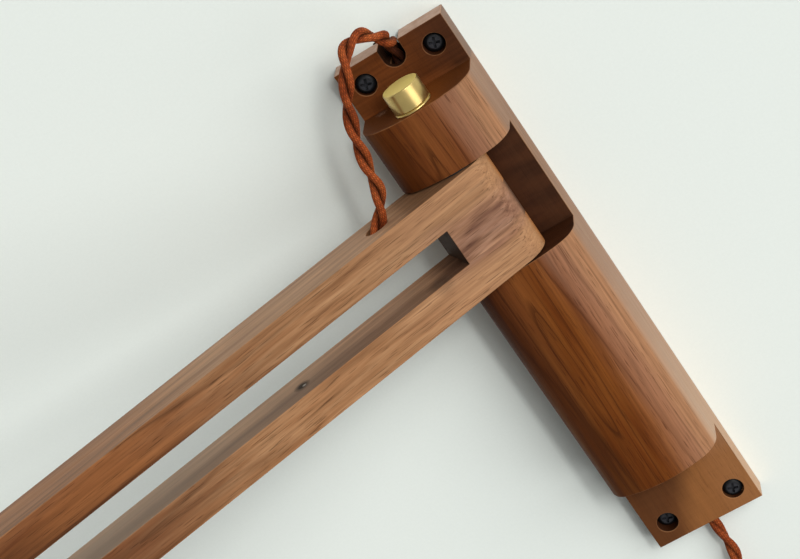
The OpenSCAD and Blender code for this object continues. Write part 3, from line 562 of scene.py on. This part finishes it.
def walnut(name, turn, seed, grain, tones, end=(104, 54, 16), lines=10.0, region=None, finish=None):
    """Oiled walnut, and other wood with other tones.

    turn brings the grain on to X, seed moves it to another part of the plank, grain is the grain's direction
    on the object, tones are dark, middle, light and pink, and end is the end grain's colour. region tints the
    long grain, and finish comes last.
    """
    dark, middle, light, pink = (srgb(*tone) for tone in tones)
    s = Shader(name)
    place = s.place()
    plank = s.node("Mapping", {"Vector": place, "Rotation": turn})
    plank = s.vectors("ADD", plank, seed)
    drift = s.vectors("SUBTRACT", s.streaks(plank, 0.2, 24, 1.5, out=1), (0.5, 0.5, 0.5))
    plank = s.vectors("ADD", plank, s.scaled(drift, (0.0, 0.010, 0.010)))
    rings = s.math("FRACT", s.times(s.streaks(plank, 0.045, 52, 1.2, 0.4), lines))
    late = s.ramp(rings, (0.0, 0.95), (0.035, 0.8), (0.1, 0.14), (0.55, 0.0), (0.86, 0.16), (1.0, 0.6))
    figure = s.streaks(plank, 0.09, 85, 2.5, 0.55)
    blush = s.streaks(plank, 0.12, 34, 1.0)
    fibre = s.streaks(plank, 0.02, 1100, 3, 0.6)
    pores = s.streaks(plank, 0.035, 2600, 1, 0.4)
    colour = s.ramp(figure, (0.28, dark), (0.46, middle), (0.66, light))
    colour = s.mix(s.ramp(blush, (0.5, 0.0), (0.68, 0.75)), colour, pink)
    depth, lively = 0.7, 1.0
    if region:
        colour, depth, lively = region(s, place, plank, colour)
    colour = s.mix(s.times(late, depth), colour, dark)
    colour = s.shade(s.times(lively, 0.55), colour, fibre, (0.3, 0.62), (0.7, 1.28))
    pits = s.ramp(pores, (0.62, 0.0), (0.70, 1.0))
    colour = s.mix(s.times(pits, s.times(lively, 0.5)), colour, dark)
    ends = s.size(s.vectors("DOT_PRODUCT", s.facing(), grain, 1))
    ends = s.ramp(ends, (0.75, 0.0), (0.95, 1.0))
    ground = s.ramp(s.noise(place, 900, 2), (0.3, darker(end, 0.14)), (0.7, srgb(*end)))
    ground = s.shade(1.0, ground, rings, (0.0, 0.86), (0.3, 1.04), (1.0, 0.97))
    colour = s.mix(ends, colour, ground)
    if finish:
        colour = finish(s, place, colour)
    # Eased edges are paler, partly as wear and partly as a painted highlight.
    worn = s.node("Attribute", out="Fac", attribute_name="edge", attribute_type="GEOMETRY")
    edge_wear_and_highlight = s.times(worn, s.ramp(s.noise(place, 120, 3), (0.35, 0.05), (0.65, 0.4)))
    colour = s.mix(edge_wear_and_highlight, colour, srgb(170, 122, 82))
    rough = s.ramp(s.streaks(plank, 0.08, 300, 3), (0.3, 0.46), (0.7, 0.6))
    rough = s.mix(ends, rough, (0.5, 0.5, 0.5, 1))
    normal = s.bump(fibre, 0.22, 0.00015)
    normal = s.bump(s.minus(1.0, pits), 0.35, 0.00012, normal)
    return s.finish(Base_Color=colour, Roughness=rough, Normal=normal, IOR=1.5, Specular_IOR_Level=0.07)


def metal(name, colour, rough, grain, turned=None, wear=0.12, face=None):
    """Metal with fine lines: round the upright axis at turned, or along the grain's scale.

    face is the colour of a faced top, paler than the sides partly as painted light.
    """
    s = Shader(name)
    place = s.place()
    lines = s.noise(s.scaled(place, grain), 1.0, 3, 0.6)
    cloud = s.noise(place, 140, 4, 0.6)
    base = s.mix(s.ramp(cloud, (0.35, 0.0), (0.75, 1.0)), srgb(*colour), darker(colour, wear))
    base = s.shade(0.25, base, lines, (0.3, 0.75), (0.7, 1.15))
    level = s.mix(
        0.5, s.ramp(lines, (0.3, rough * 0.8), (0.7, rough * 1.25)),
        s.ramp(cloud, (0.35, rough * 0.85), (0.7, rough * 1.3)),
    )
    solid = 1.0
    if face:
        # The faced top is paler than the sides, partly as its finish and partly as painted light.
        up = s.ramp(s.axes(s.facing())[2], (0.8, 0.0), (0.95, 1.0))
        base = s.mix(up, base, srgb(*face))
        level = s.mix(up, level, s.ramp(lines, (0.3, 0.42), (0.7, 0.55)))
        solid = s.ramp(up, (0.0, 1.0), (1.0, 0.45))
    height = lines
    if turned is not None:
        flat = s.scaled(s.vectors("SUBTRACT", place, turned), (1, 1, 0))
        rings = {0: s.vectors("LENGTH", flat, out=1), 2: s.axes(place)[2]}
        height = s.noise(s.node("CombineXYZ", rings), 5200, 1)
    normal = s.bump(height, 0.12, 0.00006)
    return s.finish(Base_Color=base, Metallic=solid, Roughness=level, Normal=normal)


def moulded(name, colour, rough, grain=900, bump=0.15, coat=0.0, speck=0.08):
    """Moulded or cast material with a fine surface."""
    s = Shader(name)
    place = s.place()
    fine = s.noise(place, grain, 2)
    cloud = s.noise(place, 90, 4)
    base = s.mix(s.ramp(cloud, (0.3, 0.0), (0.7, 1.0)), srgb(*colour), darker(colour, speck))
    base = s.shade(0.3, base, fine, (0.3, 0.8), (0.7, 1.1))
    level = s.ramp(fine, (0.3, rough * 0.85), (0.7, min(1.0, rough * 1.2)))
    normal = s.bump(fine, bump, 0.0001)
    return s.finish(Base_Color=base, Roughness=level, Normal=normal, Coat_Weight=coat, Coat_Roughness=0.08)


def from_screw(s, x, z):
    """How far a point is from the axis of the nearest wall screw."""
    away = {0: s.minus(s.size(x), SCREW_X), 1: s.minus(s.size(z), SCREW_Z)}
    return s.vectors("LENGTH", s.node("CombineXYZ", away), out=1)


def black_screw():
    """Blackened screws, paler in the middle of the head round the cross recess, as painted light."""
    s = Shader("black_screws")
    place = s.place()
    x, _, z = s.axes(place)
    fine = s.noise(place, 1800, 2)
    # Painted light: the middle of each head, round the cross recess, is paler.
    base = s.times(from_screw(s, x, z), 100.0)
    base = s.ramp(base, (0.22, srgb(46, 46, 50)), (0.3, srgb(14, 14, 16)))
    base = s.shade(0.5, base, fine, (0.3, 0.7), (0.7, 1.2))
    rough = s.ramp(fine, (0.3, 0.4), (0.7, 0.6))
    normal = s.bump(fine, 0.2, 0.0001)
    return s.finish(Base_Color=base, Roughness=rough, Normal=normal, Specular_IOR_Level=0.22)


def leather():
    """Brown leather with a fine creased grain."""
    s = Shader("tie_leather")
    place = s.place()
    grain = s.node("TexVoronoi", {"Vector": place, "Scale": 1100}, feature="DISTANCE_TO_EDGE")
    cloud = s.noise(place, 220, 3)
    base = s.ramp(cloud, (0.3, srgb(52, 30, 18)), (0.7, srgb(82, 50, 30)))
    base = s.shade(0.7, base, grain, (0.0, 0.55), (0.12, 1.0))
    normal = s.bump(s.ramp(grain, (0.0, 0.0), (0.2, 1.0)), 0.35, 0.00015)
    return s.finish(Base_Color=base, Roughness=s.ramp(cloud, (0.3, 0.42), (0.7, 0.6)), Normal=normal)


def opal():
    """White glass with a soft glow of scattered light."""
    s = Shader("opal_glass")
    place = s.place()
    cloud = s.noise(place, 60, 3)
    base = s.ramp(cloud, (0.3, srgb(238, 233, 222)), (0.7, srgb(250, 247, 240)))
    rough = s.ramp(s.noise(place, 300, 2), (0.3, 0.1), (0.7, 0.17))
    normal = s.bump(s.noise(place, 45, 1), 0.05, 0.0003)
    return s.finish(
        Base_Color=base, Roughness=rough, Normal=normal, Subsurface_Weight=0.35,
        Subsurface_Radius=(0.01, 0.009, 0.007), Coat_Weight=0.4, Coat_Roughness=0.05,
    )


def base_regions(s, place, plank, colour):
    """The base: paler at its right, partly painted sheen; painted shade at its left; a lighter foot with a
    painted shadow of the body on its left; a darker top tab.
    """
    x, _, z = s.axes(place)
    from_left = s.add(x, 0.5)
    wander = s.noise(s.scaled(place, (1, 1, 0.3)), 45, 2)
    wide = s.sway(wander, 0.022)
    across = s.add(s.add(x, s.sway(wander, 0.010)), 0.5)
    # Painted sheen: the right of the front is paler, partly lighter wood and partly painted sheen.
    right = s.ramp(across, (0.507, 0.0), (0.5135, 0.7))
    colour = s.mix(right, colour, srgb(160, 114, 87))
    colour = s.mix(s.ramp(across, (0.515, 0.0), (0.519, 0.7)), colour, srgb(164, 119, 84))
    # Painted shade: the left of the front is darkened.
    left = s.ramp(s.minus(0.5, x), (0.507, 0.0), (0.517, 0.4))
    colour = s.mix(left, colour, srgb(48, 20, 6))
    low = s.ramp(s.times(s.add(z, wide), -1.0), (0.088, 0.0), (0.1, 0.85))
    # The foot's wood is lighter, and its left, under the body, is darker as a painted shadow of the body.
    slant = s.times(s.add(z, 0.1), -0.3)
    foot = s.add(s.add(x, slant), s.add(wide, 0.5))
    foot = s.ramp(foot, (0.495, srgb(100, 61, 34)), (0.504, srgb(152, 100, 57)))
    colour = s.mix(low, colour, foot)
    high = s.ramp(s.times(z, 9.0), (0.94, 0.0), (0.946, 0.97))
    head = s.ramp(from_left, (0.494, srgb(106, 57, 25)), (0.52, srgb(66, 34, 16)))
    worn = s.ramp(s.times(z, 8.0), (0.85, 0.4), (0.875, 0.0))
    worn = s.times(worn, s.ramp(from_left, (0.514, 1.0), (0.52, 0.0)))
    head = s.mix(worn, head, srgb(126, 69, 32))
    colour = s.mix(high, colour, head)
    mill = s.noise(s.scaled(place, (0.04, 0.04, 1)), 900, 2)
    marks = s.add(s.times(high, 0.75), s.times(low, 0.12))
    colour = s.shade(marks, colour, mill, (0.3, 0.72), (0.7, 1.2))
    quiet = s.minus(1.0, s.math("MAXIMUM", low, high))
    lines = s.times(quiet, s.minus(0.7, s.times(right, 0.5)))
    return colour, lines, s.add(s.times(quiet, 0.75), 0.25)


def base_finish(s, place, colour):
    """A darker slot floor and ledges, painted shade in the notch and the screw bores, the knob's shelf,
    painted sheen on the top and right side, and a scuff beside the knob.
    """
    x, y, z = s.axes(place)
    nx, ny, nz = s.axes(s.facing())
    # The slot floor and the ledges at its ends are darker.
    floor = s.times(s.below(ny, -0.7), s.above(y, -0.0145))
    ledge = s.above(s.size(nz), 0.7)
    slot_floor_and_ledges = s.times(s.math("MAXIMUM", floor, ledge), s.within(z, SLOT_Z, 0.0262))
    blotch = s.streaks(place, 0.25, 190, 3)
    blotch = s.ramp(blotch, (0.35, srgb(46, 23, 12)), (0.65, srgb(64, 35, 19)))
    colour = s.mix(s.times(slot_floor_and_ledges, 0.95), colour, blotch)
    turned_in = s.above(ny, -0.5)
    # Painted shade on the faces inside the notch of the top tab.
    notch = s.times(s.within(x, 0.0, 0.0052), s.within(z, 0.1198, 0.0068), turned_in)
    colour = s.mix(s.times(notch, 0.9), colour, srgb(30, 17, 11))
    # Painted shade on the walls of the screw bores.
    painted_bore_shade = s.times(s.below(from_screw(s, x, z), 0.0051), turned_in)
    colour = s.mix(s.times(painted_bore_shade, 0.85), colour, srgb(48, 24, 13))
    shelf = s.times(s.above(nz, 0.7), s.within(z, SHELF_Z, 0.001))
    tone = s.times(s.size(s.minus(x, 0.003)), 30.0)
    tone = s.ramp(tone, (0.1, srgb(122, 67, 28)), (0.45, srgb(82, 44, 21)))
    colour = s.mix(s.times(shelf, 0.65), colour, tone)
    # Painted sheen: the top faces of the top tab are paler.
    top = s.times(s.above(nz, 0.5), s.above(z, 0.1263))
    pale = s.ramp(s.noise(place, 260, 3), (0.3, srgb(178, 142, 122)), (0.7, srgb(204, 172, 152)))
    colour = s.mix(s.times(top, 0.85), colour, pale)
    # Painted sheen: the right side faces are paler, and palest towards the bottom.
    side = s.ramp(s.times(x, 10.0), (0.235, 0.0), (0.245, 1.0))
    side = s.times(s.ramp(nx, (0.4, 0.0), (0.8, 1.0)), side)
    pale = s.ramp(
        s.minus(0.5, z), (0.38, srgb(148, 122, 104)), (0.44, srgb(130, 103, 84)),
        (0.5, srgb(152, 125, 106)), (0.62, srgb(204, 174, 146)),
    )
    colour = s.mix(s.times(side, 0.65), colour, pale)
    scuff = s.spot(place, (-0.0165, -0.0138, SHELF_Z), 0.0034, 1.0)
    scuff = s.times(scuff, s.ramp(s.noise(place, 1500, 2), (0.46, 0.0), (0.6, 0.7)))
    return s.mix(scuff, colour, srgb(168, 134, 112))


def arm_axes(s, place):
    """How far a point is along the arm from the pivot, and how far to the front of its middle."""
    away = s.vectors("SUBTRACT", place, PIVOT)
    return [s.vectors("DOT_PRODUCT", away, way, 1) for way in (ARM_ALONG, ARM_FRONT)]


def arm_regions(s, place, plank, colour, reach, banded=False):
    """The rails are paler near the hinge, up to reach, partly as painted sheen, and have a grey core at the
    hinge.

    A banded rail's far end is lighter above and darker below.
    """
    along, _ = arm_axes(s, place)
    z = s.axes(place)[2]
    wander = s.sway(s.noise(place, 22, 2), 0.09)
    # Painted sheen: paler tones near the hinge, fading out beyond reach.
    near = s.ramp(s.add(along, wander), (reach, 0.82), (reach + 0.08, 0.0))
    pale = s.streaks(plank, 0.06, 420, 3, 0.6)
    pale = s.ramp(pale, (0.3, srgb(134, 92, 60)), (0.5, srgb(161, 117, 80)), (0.7, srgb(180, 137, 98)))
    colour = s.mix(near, colour, pale)
    drift = s.sway(s.streaks(plank, 0.25, 130, 2), 0.016)
    if banded:
        far = s.ramp(along, (0.15, 0.0), (0.21, 1.0))
        height = s.times(s.add(z, drift), 10.0)
        above = s.ramp(height, (0.68, 0.0), (0.73, 0.45))
        colour = s.mix(s.times(far, above), colour, srgb(160, 104, 64))
        below = s.ramp(height, (0.62, 0.45), (0.69, 0.0))
        colour = s.mix(s.times(far, below), colour, srgb(70, 38, 20))
    streak = s.streaks(plank, 0.12, 330, 2.5, 0.6)
    streak = s.ramp(streak, (0.34, srgb(98, 64, 52)), (0.5, srgb(132, 94, 74)), (0.68, srgb(164, 124, 102)))
    # Painted sheen: paler still right by the hinge.
    hinge = s.ramp(along, (0.03, 0.3), (0.065, 0.0))
    colour = s.mix(hinge, colour, srgb(196, 150, 112))
    butt = s.ramp(s.add(along, 0.5), (0.487, 0.9), (0.496, 0.0))
    colour = s.mix(butt, colour, srgb(166, 120, 81))
    streak = s.mix(butt, streak, srgb(146, 106, 84))
    core = s.add(s.size(s.minus(z, SLOT_Z)), drift)
    core = s.ramp(core, (0.006, 0.9), (0.0135, 0.0))
    core = s.times(core, s.ramp(along, (0.022, 1.0), (0.04, 0.0)))
    colour = s.mix(core, colour, streak)
    calm = s.minus(1.0, s.times(butt, 0.9))
    lines = s.times(calm, s.minus(0.75, s.times(near, 0.6)))
    return colour, lines, calm


# Dark spots on the lower rail's top, as (middle, radius, amount). The first is a knot, with a painted glint
# on it.
RAIL_SPOTS = (
    ((-0.0903, -0.0716, LOWER_RAIL_Z), 0.0042, 0.95), ((-0.0273, -0.048, LOWER_RAIL_Z), 0.007, 0.5),
)
RAIL_GLINT = (-0.0892, -0.072, LOWER_RAIL_Z)


def arm_finish(s, place, colour):
    """Painted sheen on the upper faces, long streaks, painted shade by the hinge, a painted shadow strip and
    painted light on the lower rail's top in the slot, dark spots, and a knot with a painted glint.
    """
    along, front = arm_axes(s, place)
    up = s.ramp(s.axes(s.facing())[2], (0.6, 0.0), (0.95, 1.0))
    lane = s.node("CombineXYZ", {0: s.times(along, 0.03), 1: front})
    lane = s.noise(lane, 330, 2.5, 0.55)
    # Painted sheen: the upper faces are paler, from a little past the hinge outwards.
    clear = s.ramp(along, (0.026, 0.0), (0.05, 0.36))
    clear = s.times(clear, s.ramp(along, (0.08, 1.0), (0.2, 0.62)))
    colour = s.mix(s.times(up, clear), colour, srgb(216, 180, 152))
    colour = s.shade(s.times(up, 0.75), colour, lane, (0.32, 0.66), (0.5, 0.96), (0.68, 1.12))
    # Painted shade on the upper faces close to the hinge, under the base.
    hinge_painted_shade = s.times(up, s.ramp(along, (0.026, 1.0), (0.034, 0.0)))
    colour = s.mix(s.times(hinge_painted_shade, 0.55), colour, srgb(52, 26, 13))
    inner = s.times(up, s.within(s.axes(place)[2], LOWER_RAIL_Z, 0.001))
    # Painted shadow of the upper rail: a darker strip along the front of the lower rail's top, in the slot.
    wave = s.sway(s.noise(place, 60, 2), 0.008)
    strip = s.ramp(s.add(s.add(front, wave), 0.5), (0.4995, 0.0), (0.5035, 0.42))
    colour = s.mix(s.times(inner, strip), colour, srgb(72, 46, 34))
    # Painted light: the lower rail's top in the slot is paler farther out.
    farther = s.times(s.ramp(along, (0.06, 0.0), (0.2, 0.32)), inner)
    colour = s.mix(farther, colour, srgb(226, 204, 178))
    for middle, radius, amount in RAIL_SPOTS:
        colour = s.mix(s.spot(place, middle, radius, amount), colour, srgb(40, 27, 21))
    # A painted glint on the knot.
    return s.mix(s.spot(place, RAIL_GLINT, 0.0011, 0.8, 0.4), colour, srgb(190, 182, 168))


def arm_walnut(name, seed, end, reach, banded=False, finish=None):
    def region(s, place, plank, colour):
        return arm_regions(s, place, plank, colour, reach, banded)

    return walnut(name, LENGTHWISE, seed, ARM_ALONG, ARM_TONES, end, 6.0, region, finish)


UPRIGHT = (0, math.radians(90), 0)
LENGTHWISE = (0, 0, -ARM_TURN)
BASE_TONES = ((58, 25, 8), (108, 55, 18), (136, 79, 32), (126, 74, 42))
ARM_TONES = ((52, 27, 13), (92, 51, 26), (142, 89, 50), (112, 68, 42))
BEECH_TONES = ((150, 112, 74), (186, 150, 108), (206, 174, 132), (200, 160, 124))
ARM_SEED, ARM_END = (0.02, 0.4, 0.11), (168, 108, 58)
walnut_base = walnut(
    "walnut_base", UPRIGHT, (0.31, 0.12, 0.05), (0, 0, 1), BASE_TONES,
    region=base_regions, finish=base_finish,
)
walnut_upper = arm_walnut("walnut_upper_rail", ARM_SEED, ARM_END, 0.105, True, arm_finish)
walnut_lower = arm_walnut("walnut_lower_rail", (0.6, 0.21, 0.33), ARM_END, 0.125, finish=arm_finish)
walnut_spacer = arm_walnut("walnut_spacers", ARM_SEED, (76, 54, 40), 0.105)
brass_knob = metal("brass_knob", (212, 183, 118), 0.3, (60, 60, 60), KNOB_AT, 0.08, (240, 214, 124))
brass_tip = metal("brass_lampholder", (214, 176, 98), 0.26, (60, 60, 60), TIP)
cap_metal = metal("cap_metal", (205, 207, 210), 0.24, (200, 200, 3000), TIP)
plug_resin = moulded("plug_resin", (46, 30, 24), 0.28, 1400, 0.06, 0.3, 0.25)
tie_leather = leather()
opal_glass = opal()

slot_materials = {
    "beech": walnut(
        "beech", LENGTHWISE, (0.2, 0.3, 0.3), ARM_ALONG, BEECH_TONES, end=(170, 130, 90), lines=4.0,
    ),
    "black_fibre": moulded("black_fibre", (40, 36, 33), 0.85, 1500, 0.5, speck=0.3),
    "black_steel": moulded("black_steel", (20, 21, 25), 0.42, 1800, 0.2, 0.0, 0.3),
    "block_plastic": moulded("block_plastic", (218, 212, 196), 0.45),
    "brass": metal("brass_small", (206, 168, 92), 0.32, (300, 300, 1200)),
    "cap_metal": cap_metal,
    "cord_fabric": cord_cover,
    "dimmer_plastic": moulded("dimmer_plastic", (34, 34, 37), 0.5),
    "lead_sleeve": moulded("lead_sleeve", (138, 42, 30), 0.4),
    "nylon": moulded("nylon", (214, 208, 192), 0.5),
    "opal_glass": opal_glass,
    "plug_resin": plug_resin,
    "porcelain": moulded("porcelain", (232, 227, 214), 0.2, 500, 0.05, 0.6, 0.05),
    "steel": metal("turned_steel", (196, 198, 202), 0.3, (300, 300, 2400)),
    "tie_leather": tie_leather,
    "walnut": walnut_base,
}
for part in subparts:
    for held in nodes[part["node"]].material_slots:
        held.link = "OBJECT"
        held.material = slot_materials[part["material_slot"]]


# Pieces with eased edges

def outside_of_base(middle):
    """Leaves the pockets in the back and the edges against the wall sharp."""
    if middle.y > -0.4 * MM:
        return False
    if abs(middle.x) > 23 * MM or middle.y < -10 * MM:
        return True
    return abs(middle.z) > 86 * MM


def rail_edges(middle):
    """Eases all but the joints with the spacers and the channel."""
    u = (middle - PIVOT).dot(ARM_ALONG) / MM
    n = abs((middle - PIVOT).dot(ARM_FRONT)) / MM
    if 43 * MM < middle.z < 60.4 * MM:
        return SLOT_FROM < u < SLOT_TO and n > 11
    return n > 11 or u < -5 or u > 445 or middle.z > 75 * MM


def spacer_edges(middle):
    """Eases the upright edges, and leaves the joints with the rails sharp."""
    return 44 * MM < middle.z < 59 * MM


def strip_edges(middle):
    """Eases the strip's lower edges."""
    return middle.z < 60 * MM


def head_rim(middle):
    """Eases the outside of a screw's head, and leaves its cross sharp."""
    away = math.hypot(abs(middle.x) - SCREW_X, abs(middle.z) - SCREW_Z)
    return middle.y < -4 * MM and away > 2.7 * MM


SLOT_ENDS = [(PIVOT + ARM_ALONG * u * MM, ARM_ALONG) for u in (SLOT_FROM, SLOT_TO)]
dress("wall_base", walnut_base, 0.32, outside_of_base)
dress("arm_upper_rail", walnut_upper, 0.4, rail_edges, SLOT_ENDS)
dress("arm_lower_rail", walnut_lower, 0.4, rail_edges, SLOT_ENDS)
dress("hinge_spacer", walnut_spacer, 0.3, spacer_edges)
dress("tip_spacer", walnut_spacer, 0.3, spacer_edges)
dress("channel_strip", walnut_upper, 0.25, strip_edges)
dress("wall_screws", black_screw(), 0.2, head_rim)


# Turned pieces

knob_profile = [
    (0, 115.2), (7.65, 115.2), (8.0, 114.85), (8.0, 106.45), (7.8, 106.2), (6.3, 106.2), (6.3, 107.6),
    (0, 107.6),
]
knob = lathe("knob_turned", soften(knob_profile, 0.12), KNOB_AT, "knob", brass_knob, 128)
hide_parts("dimmer_knob")
washer_profile = [(5.2, 105.9), (7.8, 105.9), (8.1, 105.6), (8.1, 105.0), (5.2, 105.0)]
washer_profile = soften(washer_profile, 0.2)
washer = lathe("knob_washer_turned", washer_profile, KNOB_AT, "base", brass_knob, 96, True)
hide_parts("knob_washer")

cup_profile = [
    (5.3, 24.1), (5.3, 27.1), (13.5, 27.1), (16.5, 26.3), (18.7, 24.1), (19.5, 21.1),
    (19.5, -8.0), (19.2, -8.6), (19.2, -10.0), (19.5, -10.6), (19.5, -21.6), (19.1, -22.9), (18.2, -22.9),
    (18.0, -22.0), (18.0, 21.1), (12.0, 24.1),
]
cup = lathe("cup_turned", soften(cup_profile, 0.5), TIP, "arm", brass_tip, 128, True)
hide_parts("lampholder_cup")
tip_profile = [(5.2, 28.3), (10.7, 28.3), (11.0, 28.0), (11.0, 27.4), (10.7, 27.1), (5.2, 27.1)]
tip_profile = soften(tip_profile, 0.2)
tip_washer = lathe("tip_washer_turned", tip_profile, TIP, "arm", brass_tip, 96, True)
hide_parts("tip_washer")

# The bulb: a globe that flows into its neck, and a cap with a rolled thread
GLOBE_R, GLOBE_Z, NECK_R = 22.5, -39.93, 11.0
CAP_TOP, CAP_LOW = 11.1, -12.9
THREAD_R, THREAD_DEPTH, THREAD_PITCH, THREAD_STEPS = 12.75, 0.4, 3.6, 48
neck_angle = math.degrees(math.asin(NECK_R / GLOBE_R))
glass_profile = [(NECK_R, CAP_LOW), (NECK_R, CAP_LOW - 5)]
glass_profile += [
    (GLOBE_R * math.sin(a), GLOBE_Z + GLOBE_R * math.cos(a))
    for a in np.radians(np.linspace(neck_angle + 7, 180, 40))
]
glass = lathe("globe_blown", soften(glass_profile, 3, 4), TIP, "arm", opal_glass, 96)
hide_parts("bulb_glass")
thread = []
for i in range(2, THREAD_STEPS + 1):
    down = (CAP_TOP - CAP_LOW) * i / THREAD_STEPS
    wave = THREAD_DEPTH * math.cos(2 * math.pi * down / THREAD_PITCH)
    thread.append((THREAD_R + wave, CAP_TOP - down))
cap_profile = [(0, CAP_TOP), (4.4, CAP_TOP), (9, 10.4)] + thread + [(11.2, CAP_LOW), (0, CAP_LOW)]
cap = lathe("cap_rolled", cap_profile, TIP, "arm", cap_metal, 96)
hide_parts("bulb_cap")

# The plug: a ribbed strain relief, a shoulder and a body with finger grooves
plug_profile = [(0, PLUG_TOP), (3.5, PLUG_TOP)]
for i in range(7):
    z, r = PLUG_TOP - 3 * i, 4 + 0.2 * i
    plug_profile += [(r, z - 0.1), (r + 0.1, z - 1.9), (r - 0.4, z - 2.1), (r - 0.4, z - 2.9)]
plug_profile += [(5.5, -293.2), (6.2, -295.6), (9.0, -298.7), (11.2, -300.7), (12.0, -302.6)]
for i in range(4):
    plug_profile += [(12.0, -303.2 - 3 * i), (11.4, -304.2 - 3 * i), (11.4, -305.0 - 3 * i)]
plug_profile += [(12.0, -315.2), (12.0, -322.4), (10.6, -324.0), (0, -324.0)]
PLUG_AT = (PLUG_X * MM, COIL_FRONT * MM)
plug = lathe("plug_moulded", soften(plug_profile, 0.6), PLUG_AT, "base", plug_resin, 72)
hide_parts("plug_body")

# The tie: how far its inside is from the cord's middle, and its section as (distance out, height)
STRAP_R = 3.4
STRAP_SECTION = [
    (0.0, -3.76), (0.0, 3.76), (0.25, 3.995), (0.95, 3.995),
    (1.2, 3.76), (1.2, -3.76), (0.95, -3.995), (0.25, -3.995),
]


def strap():
    """The tie: a leather strap closed round the coil."""
    low_x, high_x = COIL_X + COIL_R - COIL_SPREAD, COIL_X + COIL_R
    corners = [
        (high_x, COIL_BACK, 0), (low_x, COIL_BACK, 90), (low_x, COIL_FRONT, 180), (high_x, COIL_FRONT, 270),
    ]
    points = []
    for x, y, first in corners:
        for a in np.radians(np.linspace(first, first + 90, 9)):
            for out, z in STRAP_SECTION:
                r = STRAP_R + out
                points.append((x + r * math.cos(a), y + r * math.sin(a), COIL_Z + z))
    count = len(STRAP_SECTION)
    faces = bands(len(points) // count, count, closed=True)
    return piece("tie_strap", in_metres(points), faces, "base", tie_leather)


tie = strap()
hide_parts("coil_tie")


# Wall, lights and world

def wall():
    """A pale painted wall, open behind the base so that the back can be seen, and clear from behind, with
    painted shade where it shows through the notch.
    """
    s = Shader("wall_paint")
    place = s.place()
    x, _, z = s.axes(place)
    fine = s.noise(place, 900, 2)
    base = s.ramp(fine, (0.3, srgb(240, 246, 239)), (0.7, srgb(242, 248, 241)))
    # Painted shade on the wall where it shows through the notch of the top tab.
    slant = s.add(z, s.times(x, 0.9))
    notch = s.times(s.within(x, 0.0, 0.007), s.within(z, 0.119, 0.0085), s.below(slant, 0.1245))
    base = s.mix(notch, base, srgb(38, 27, 22))
    paint = s.node("BsdfDiffuse", {"Color": base, "Normal": s.bump(fine, 0.02, 0.0001)})
    behind = s.node("NewGeometry", out="Backfacing")
    seen = s.node("LightPath", out="Is Camera Ray")
    clear = s.node("BsdfTransparent")
    s.surface(s.node("MixShader", {0: s.times(behind, seen), 1: paint, 2: clear}))
    gap = 0.15 * MM
    points = []
    for half_width, half_height in ((3.0, 2.4), (23.5 * MM, 111 * MM)):
        for right, up in ((-1, -1), (1, -1), (1, 1), (-1, 1)):
            points.append((right * half_width, gap, up * half_height))
    mesh = bpy.data.meshes.new("wall")
    mesh.from_pydata(points, [], [(0, 1, 5, 4), (1, 2, 6, 5), (2, 3, 7, 6), (3, 0, 4, 7)])
    mesh.materials.append(s.owner)
    obj = bpy.data.objects.new("wall", mesh)
    scene.collection.objects.link(obj)


LAMP_AIM = Vector((-0.05, 0, 0))


def softbox(name, place, width, height, power):
    """A wide lamp far off, so that it lights the wall evenly."""
    light = bpy.data.lights.new(name, "AREA")
    light.shape = "RECTANGLE"
    light.size, light.size_y = width, height
    light.energy = power
    obj = bpy.data.objects.new(name, light)
    obj.location = place
    obj.rotation_euler = (LAMP_AIM - Vector(place)).to_track_quat("-Z", "Y").to_euler()
    scene.collection.objects.link(obj)


def world():
    """Soft light from all round. The camera and reflections see a grey backdrop instead."""
    s = Shader("World", bpy.data.worlds)
    rays = s.node("LightPath").node.outputs
    shown = s.math("MAXIMUM", rays["Is Camera Ray"], rays["Is Glossy Ray"])
    shown = s.math("MAXIMUM", shown, rays["Is Transmission Ray"])
    room = s.node("Background", {"Color": (0.95, 0.98, 1.0, 1), "Strength": 0.21})
    backdrop = s.node("Background", {"Color": srgb(186, 190, 186), "Strength": 1.0})
    either = s.node("MixShader", {0: shown, 1: room, 2: backdrop})
    scene.world = s.surface(either, "ShaderNodeOutputWorld")


wall()
softbox("window", (10.7, -10.2, 5.9), 15.3, 10.5, 1960)
softbox("pane", (7.6, -12.7, 5.9), 1.32, 3.9, 468)
softbox("low_window", (11.3, -10.0, -5.4), 11.1, 7.8, 639)
world()
